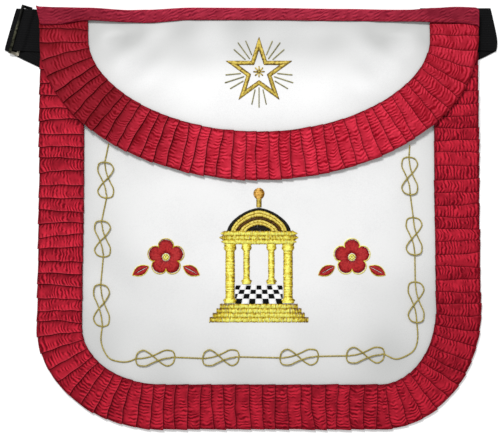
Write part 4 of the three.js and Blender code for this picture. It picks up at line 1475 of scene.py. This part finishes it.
def entablature():
    """Three padded bands, each of upright stitches, that taper to a spike at both ends. The middle
    one is lower than the other two."""
    work = gold_work("temple_entablature", 50)
    low = temple_y(CAPITAL_TOP) - BAND_OVERLAP
    top = temple_y(DOME_LOW)
    reach = TEMPLE_HALF * LINTEL_HALF
    for start, end, lift, out in LINTEL_BANDS:
        x = np.arange(-reach * out, reach * out, STITCH_PITCH)
        middle = lerp(low, top, (start + end) / 2)
        half = (end - start) / 2 * (top - low) * np.clip((reach * out - np.abs(x) + 0.2) / 3.6, 0.05, 1)
        falling = 0.8 * ease((np.abs(x) / reach - 0.75) / 0.25)
        tone = work.rng.uniform(0, 1, len(x)) - falling - 0.5 * (lift < 0.7)
        starts = np.stack([x, middle - half], 1)
        ends = np.stack([x, middle + half], 1)
        work.rows(starts, ends, lift=lift * STITCH_HEIGHT, tone=tone)
    work.done()


def column(name, aside, foot, base, shaft, capital, seed):
    """A column of level stitches: a moulded base, a shaft with a slight swell and a flared capital."""
    work = gold_work(f"temple_column_{name}", seed)
    middle = aside * TEMPLE_HALF
    foot_y = temple_y(foot)
    shaft_y = temple_y(foot + BASE_TALL)
    capital_y = temple_y(CAPITAL_LOW)
    top_y = temple_y(CAPITAL_TOP)
    y = np.arange(foot_y + 0.25, top_y, STITCH_PITCH)
    base_share = np.clip((y - foot_y) / (shaft_y - foot_y), 0, 1)
    narrowing = (base - shaft) * ease((base_share - 0.5) * 2) * 0.75
    moulding = base - narrowing - 0.012 * np.sin(base_share * 3 * np.pi)
    swell = shaft * (1 + 0.05 * np.sin(np.pi * np.clip((y - shaft_y) / (capital_y - shaft_y), 0, 1)))
    flare_share = np.clip((y - capital_y) / (top_y - capital_y), 0, 1)
    flare = lerp(shaft, capital, ease(flare_share * 1.6)) + 0.015 * np.sin(flare_share * 2 * np.pi)
    half = np.where(y < shaft_y, moulding, np.where(y < capital_y, swell, flare)) * TEMPLE_HALF
    lift = np.where((y < shaft_y) | (y >= capital_y), 1.1, 0.9) * STITCH_HEIGHT
    starts = np.stack([middle - half, y], axis=1) + work.rng.normal(0, 0.1, (len(y), 2))
    ends = np.stack([middle + half, y], axis=1) + work.rng.normal(0, 0.1, (len(y), 2))
    work.add(arched(starts, ends, body_top, lift[:, None]))
    work.done()


def columns():
    for index, row in enumerate(TEMPLE_COLUMNS):
        column(*row, 60 + index)


# Levels of the floor's lines as shares of its height, and a square's width at its foot and its top
FLOOR_LINES = np.array([0.0, 0.28, 0.545, 0.775, 1.0])
SQUARE_LOW = 6.3
SQUARE_HIGH = 4.65

# The floor's stitches: their pitch, and the groove that each square leaves on both its sides
FLOOR_PITCH = 0.42
SQUARE_GROOVE = 0.08


def floor_squares():
    """The chequered floor in perspective: squares of level stitches, wider towards the front,
    cut off where the outer columns stand."""
    work = Stitching("temple_floor", body_top, chequer, "black_thread", ["temple_floor"], 70)
    outer = TEMPLE_COLUMNS[3]
    reach = (outer[1] - outer[4]) * TEMPLE_HALF - CLEARANCE
    low = temple_y(STEPS_TOP) + CLEARANCE
    high = temple_y(FLOOR_TOP)
    for row in range(4):
        start, end = FLOOR_LINES[row], FLOOR_LINES[row + 1]
        y = np.arange(lerp(low, high, start) + 0.2, lerp(low, high, end), FLOOR_PITCH)
        share = (y - low) / (high - low)
        size = lerp(SQUARE_LOW, SQUARE_HIGH, share)
        for index in range(-6, 6):
            left = np.clip((index - 0.5) * size + SQUARE_GROOVE, -reach, reach)
            right = np.clip((index + 0.5) * size - SQUARE_GROOVE, -reach, reach)
            kept = right - left > 0.5
            if kept.any():
                white = float((row + index) % 2 == 0)
                level_stitches(work, y[kept], left[kept], right[kept], lift=0.45, ragged=0.04, square=white)
    work.done()


def steps():
    """Four steps of upright stitches, each wider than the one above it, with uneven tops."""
    work = gold_work("temple_steps", 80)
    tread = TEMPLE_HALF * STEP_TREAD
    for step in range(STEP_COUNT):
        reach = TEMPLE_HALF - step * tread
        low = temple_y(STEPS_TOP * step / STEP_COUNT)
        high = temple_y(STEPS_TOP * (step + 1) / STEP_COUNT)
        x = np.arange(-reach, reach, STITCH_PITCH)
        tone = work.rng.uniform(0, 1, len(x)) - 1.2 * ease((np.abs(x) / reach - 0.62) / 0.38)
        starts = np.stack([x, low - STEP_OVERLAP + 0 * x], 1)
        ends = np.stack([x, high + STEP_OVERLAP + 0 * x], 1)
        work.rows(starts, ends, lift=0.85, ragged=0.16, tone=tone)
    work.done()


# Flowers


# The rosette: where its petals start, its gold outline's radius, and its two rings of knots
ROSETTE_EYE = 3.4
ROSETTE_EDGE = 0.45
KNOT_RINGS = (2.7, 1.3)
KNOT_REACH = 0.55

# The leaves' gold outline, and how far ahead of its root a stitch of theirs ends
LEAF_EDGE = 0.36
LEAF_SLANT = 0.07


def rosette(name, side, seed):
    """A flower of five satin petals: stitches run out from its middle to a lobed edge, which a
    gold thread follows. Knots fill the middle."""
    centre = np.array([side * ROSETTE_OFFSET, FLAP_LOW_Y - ROSETTE_BELOW_FLAP])
    angle = np.linspace(0, 2 * np.pi, 251) + np.pi / 2
    lobe = np.abs(np.cos(2.5 * (angle - np.pi / 2)))
    reach = ROSETTE_RADIUS * (0.62 + 0.38 * np.sqrt(lobe))
    way = heading(angle)
    work = Stitching(f"rosette_{name}", body_top, red_thread, "red_thread", [f"rosette_{name}"], seed)
    full = slice(0, 250, 2)
    starts = centre + way[full] * ROSETTE_EYE
    ends = centre + way[full] * (reach[full, None] * 0.94)
    work.rows(starts, ends, wide=0.42, ragged=0.1)
    short = slice(1, 250, 2)
    starts = centre + way[short] * (reach[short, None] * 0.5)
    ends = centre + way[short] * (reach[short, None] * 0.95)
    work.rows(starts, ends, wide=0.42, ragged=0.1)
    work.done()
    edge = Stitching(f"rosette_edge_{name}", body_top, gold, "gold_thread", [], seed + 1)
    edge.cord(centre + way * (reach[:, None] - 0.2), ROSETTE_EDGE)
    spots = heading(np.radians(np.arange(12) * 30))
    for radius in KNOT_RINGS:
        knots = centre + spots * radius
        edge.rows(knots - [KNOT_REACH, 0], knots + [KNOT_REACH, 0], lift=1.1, wide=0.5, high=0.4)
    edge.done()


def leaf(name, end, side, way, seed):
    """A pointed leaf: slanted stitches from its midrib to each edge, and a gold thread round it."""
    drop = -math.radians(LEAF_DROOP)
    angle = drop if way > 0 else math.pi - drop
    ahead = heading(angle)
    aside = left_of(ahead)
    centre = np.array([side * ROSETTE_OFFSET, FLAP_LOW_Y - ROSETTE_BELOW_FLAP])
    reach = ROSETTE_RADIUS + CLEARANCE
    root = centre + reach * heading(drop) * [way, 1]
    t = np.linspace(0, 1, 60)
    half = LEAF_WIDTH * 2 * t * (1 - t)
    spine = root + (t * LEAF_LENGTH)[:, None] * ahead
    node = f"leaf_{name}_{end}"
    work = Stitching(node, body_top, red_thread, "red_thread", [node], seed)
    at = np.linspace(0.06, 0.9, 34)
    wide = LEAF_WIDTH * 2 * (at + LEAF_SLANT) * (1 - LEAF_SLANT - at)
    for sign in (-1, 1):
        starts = root + (at * LEAF_LENGTH)[:, None] * ahead + sign * 0.1 * aside
        ends = root + ((at + LEAF_SLANT) * LEAF_LENGTH)[:, None] * ahead
        ends = ends + sign * (wide * 0.93)[:, None] * aside
        work.rows(starts, ends, lift=0.65, ragged=0.06, wide=0.3)
    work.done()
    edge = Stitching(f"leaf_edge_{name}_{end}", body_top, gold, "gold_thread", [], seed + 5)
    outline = np.concatenate([spine + half[:, None] * aside, (spine - half[:, None] * aside)[::-1][1:]])
    edge.cord(outline, LEAF_EDGE)
    edge.done()


def flowers():
    for index, (name, side) in enumerate((("left", -1), ("right", 1))):
        rosette(name, side, 90 + 10 * index)
        leaf(name, "outer", side, side, 120 + 20 * index)
        leaf(name, "inner", side, -side, 130 + 20 * index)


# Knotted cord


# A knot's first half: across as a share of its half width, along as a share of its length. The
# second half is the first turned half round about the knot's middle.
KNOT_HALF = np.array([
    (-0.09, 0.0), (-0.05, 0.12), (0.05, 0.27), (0.27, 0.42), (0.6, 0.58), (0.95, 0.75), (0.875, 0.93),
    (0.48, 0.99), (-0.05, 0.995), (-0.66, 0.945), (-0.98, 0.81), (-0.7, 0.675), (-0.27, 0.56), (0.02, 0.5),
])

# Half a knot's width, the cord's radius, its lift over itself, the spacing of the points along it,
# the pitch of its twist and how far each ply lies from its middle
KNOT_WIDTH = 7.3
CORD_RADIUS = 0.72
CORD_OVER = 1.0
CORD_SPACING = 0.42
CORD_TWIST = 2.9
CORD_PLY = CORD_RADIUS * 0.36

# Small stitches that hold the cord down: every so many of its points, and their half length
ANCHOR_EVERY = 17
ANCHOR_REACH = 0.85

# The cord's way round the apron: knots from a start to an end, and corners through their points
CORD_WAY = [
    ("bend", [(-135.5, 69.5), (-137.4, 60.5)]),
    ("knot", (-138.4, 52.9), (-138.4, 20.5)),
    ("knot", (-141.3, 0.0), (-141.3, -32.7)),
    ("knot", (-142.2, -57.4), (-142.2, -95.5)),
    ("bend", [(-142.7, -107.7), (-139.8, -117.7), (-134.1, -124.9), (-124.0, -127.5), (-117.0, -126.9)]),
    ("knot", (-111.2, -124.0), (-76.0, -124.0)),
    ("knot", (-50.9, -123.6), (-18.0, -123.6)),
    ("knot", (18.9, -123.1), (53.6, -123.1)),
    ("knot", (78.8, -121.3), (113.2, -121.3)),
    ("bend", [(123.9, -124.9), (135.5, -120.6), (141.2, -114.8), (143.4, -104.8)]),
    ("knot", (141.8, -91.9), (141.8, -55.2)),
    ("knot", (140.0, -30.9), (140.0, 2.9)),
    ("knot", (136.0, 23.5), (136.0, 57.4)),
    ("bend", [(135.9, 68.2)]),
]


def knot_points(start, end):
    """A figure of eight from start to end. Its second half lies over the first."""
    start, end = np.array(start), np.array(end)
    way = end - start
    across = left_of(unit(way)) * KNOT_WIDTH
    shares = np.concatenate([KNOT_HALF, np.array([0, 1]) + KNOT_HALF[::-1][1:] * [-1, -1]])
    plan = start + shares[:, 1:] * way + shares[:, :1] * across
    order = np.arange(len(shares))
    half = len(KNOT_HALF)
    over = ease((order - half + 2) / 2.5) * ease((len(shares) - 1 - order) / 1.5)
    return plan, CORD_OVER * over


def smooth_line(points, spacing):
    """A Catmull-Rom curve through points, resampled at an even spacing."""
    padded = np.concatenate([2 * points[:1] - points[1:2], points, 2 * points[-1:] - points[-2:-1]])
    t = np.linspace(0, 1, 24, endpoint=False)[None, :, None]
    a, b, c, d = (padded[shift:len(points) - 1 + shift, None, :] for shift in range(4))
    curve = 2 * b + (c - a) * t + (2 * a - 5 * b + 4 * c - d) * t ** 2
    curve = 0.5 * (curve + (3 * b - a - 3 * c + d) * t ** 3)
    curve = np.concatenate([curve.reshape(-1, points.shape[1]), points[-1:]])
    gone = travelled(curve[:, :2])
    return places_on(curve, gone, np.linspace(0, gone[-1], int(gone[-1] / spacing)))


def knotted_cord():
    """The gold cord that is stitched down round the body, tied in ten figures of eight. It is two
    plies twisted together, each a strand wound about the cord's own line."""
    plans, raises = [], []
    for kind, *rest in CORD_WAY:
        if kind == "knot":
            plan, over = knot_points(*rest)
        else:
            plan = np.array(rest[0])
            over = np.zeros(len(plan))
        plans.append(plan)
        raises.append(over)
    route = np.concatenate([np.concatenate(plans), np.concatenate(raises)[:, None]], axis=1)
    line = smooth_line(route, CORD_SPACING)
    x, y, over = line.T
    sideways = left_of(unit(np.gradient(line[:, :2], axis=0)))
    level = body_top(x, y) + CORD_RADIUS * 0.8 + over
    work = Stitching("knotted_cord", body_top, cord_gold, "gold_thread", [], 150)
    for start in (0, np.pi):
        turn = np.arange(len(x)) * CORD_SPACING * 2 * np.pi / CORD_TWIST + start
        aside = np.cos(turn)[:, None] * sideways * CORD_PLY
        path = np.concatenate([line[:, :2] + aside, (level + np.sin(turn) * CORD_PLY)[:, None]], axis=1)
        work.add(path[None], wide=CORD_PLY * 1.7, high=CORD_PLY * 1.7, sides=6, tone=0.5)
    work.done()
    anchors = Stitching("cord_stitches", body_top, cord_gold, "gold_thread", [], 151)
    picks = np.arange(14, len(x) - 14, ANCHOR_EVERY)
    picks = picks[over[picks] < 0.02]
    held = line[picks, :2]
    side = sideways[picks] * ANCHOR_REACH
    anchors.rows(held - side, held + side, lift=CORD_RADIUS * 2 + 0.1, ragged=0.05, wide=0.12, high=0.1)
    anchors.done()


# Stage, lights and camera, in metres


# The floor's half width and its level, just under the apron
FLOOR_HALF = 3.0
FLOOR_LEVEL = -0.0002

# The one soft light's place, width and power in watts, and the strength of the white sky
KEY_PLACE = (-0.65, 1.75, 2.55)
KEY_SIZE = 0.7
KEY_POWER = 70.0
SKY_STRENGTH = 0.5

# Lens and sensor in mm, the width that is shown at the cloth's height, and what the camera looks at
LENS = 100.0
SENSOR_WIDTH = 36.0
SHOWN_WIDTH = 0.45
CLOTH_HEIGHT = 0.006
AIM_X = -0.00115
AIM_Y = -0.00155


def stage():
    """A pale floor just under the apron, bright enough to stay nearly white."""
    mesh = bpy.data.meshes.new("floor")
    corners = [(x * FLOOR_HALF, y * FLOOR_HALF, FLOOR_LEVEL) for x, y in ((-1, -1), (1, -1), (1, 1), (-1, 1))]
    mesh.from_pydata(corners, [], [(0, 1, 2, 3)])
    finish = Finish("pale_floor")
    cloud = finish.noise(finish.place(), 0.004, 2.0)
    tint = finish.blend(cloud, paint(247, 247, 247), paint(252, 252, 252))
    mesh.materials.append(finish.done(
        Base_Color=tint, Roughness=0.9, Specular_IOR_Level=0.1, Emission_Color=tint, Emission_Strength=0.22,
    ))
    floor = add_object("floor", mesh)


def lights():
    """A white sky, and one square soft light high behind the waist that is turned towards the apron."""
    world = bpy.data.worlds.new("studio")
    bpy.context.scene.world = world
    world.use_nodes = True
    sky = world.node_tree.nodes["Background"]
    sky.inputs["Color"].default_value = (1.0, 1.0, 1.0, 1.0)
    sky.inputs["Strength"].default_value = SKY_STRENGTH
    light = bpy.data.lights.new("key", "AREA")
    light.shape = "SQUARE"
    light.size = KEY_SIZE
    light.energy = KEY_POWER
    lamp = add_object("key", light)
    x, y, z = KEY_PLACE
    lamp.location = KEY_PLACE
    lamp.rotation_euler = (math.atan2(math.hypot(x, y), z), 0.0, math.atan2(x, -y))


def camera():
    """Straight above the apron, as far away as the lens needs to show the photograph's width."""
    view = bpy.data.cameras.new("camera")
    view.lens = LENS
    view.sensor_width = SENSOR_WIDTH
    view.clip_start = 0.05
    above = add_object("camera", view)
    above.location = (AIM_X, AIM_Y, SHOWN_WIDTH * LENS / SENSOR_WIDTH + CLOTH_HEIGHT)
    bpy.context.scene.camera = above


camera()
stage()
lights()
bpy.context.scene.view_settings.view_transform = "Standard"

body_panel()
flap_panel()
body_border()
flap_border()
waistband()
belt()
star()
star_rays()
star_middle()
finial()
dome()
entablature()
columns()
floor_squares()
steps()
flowers()
knotted_cord()
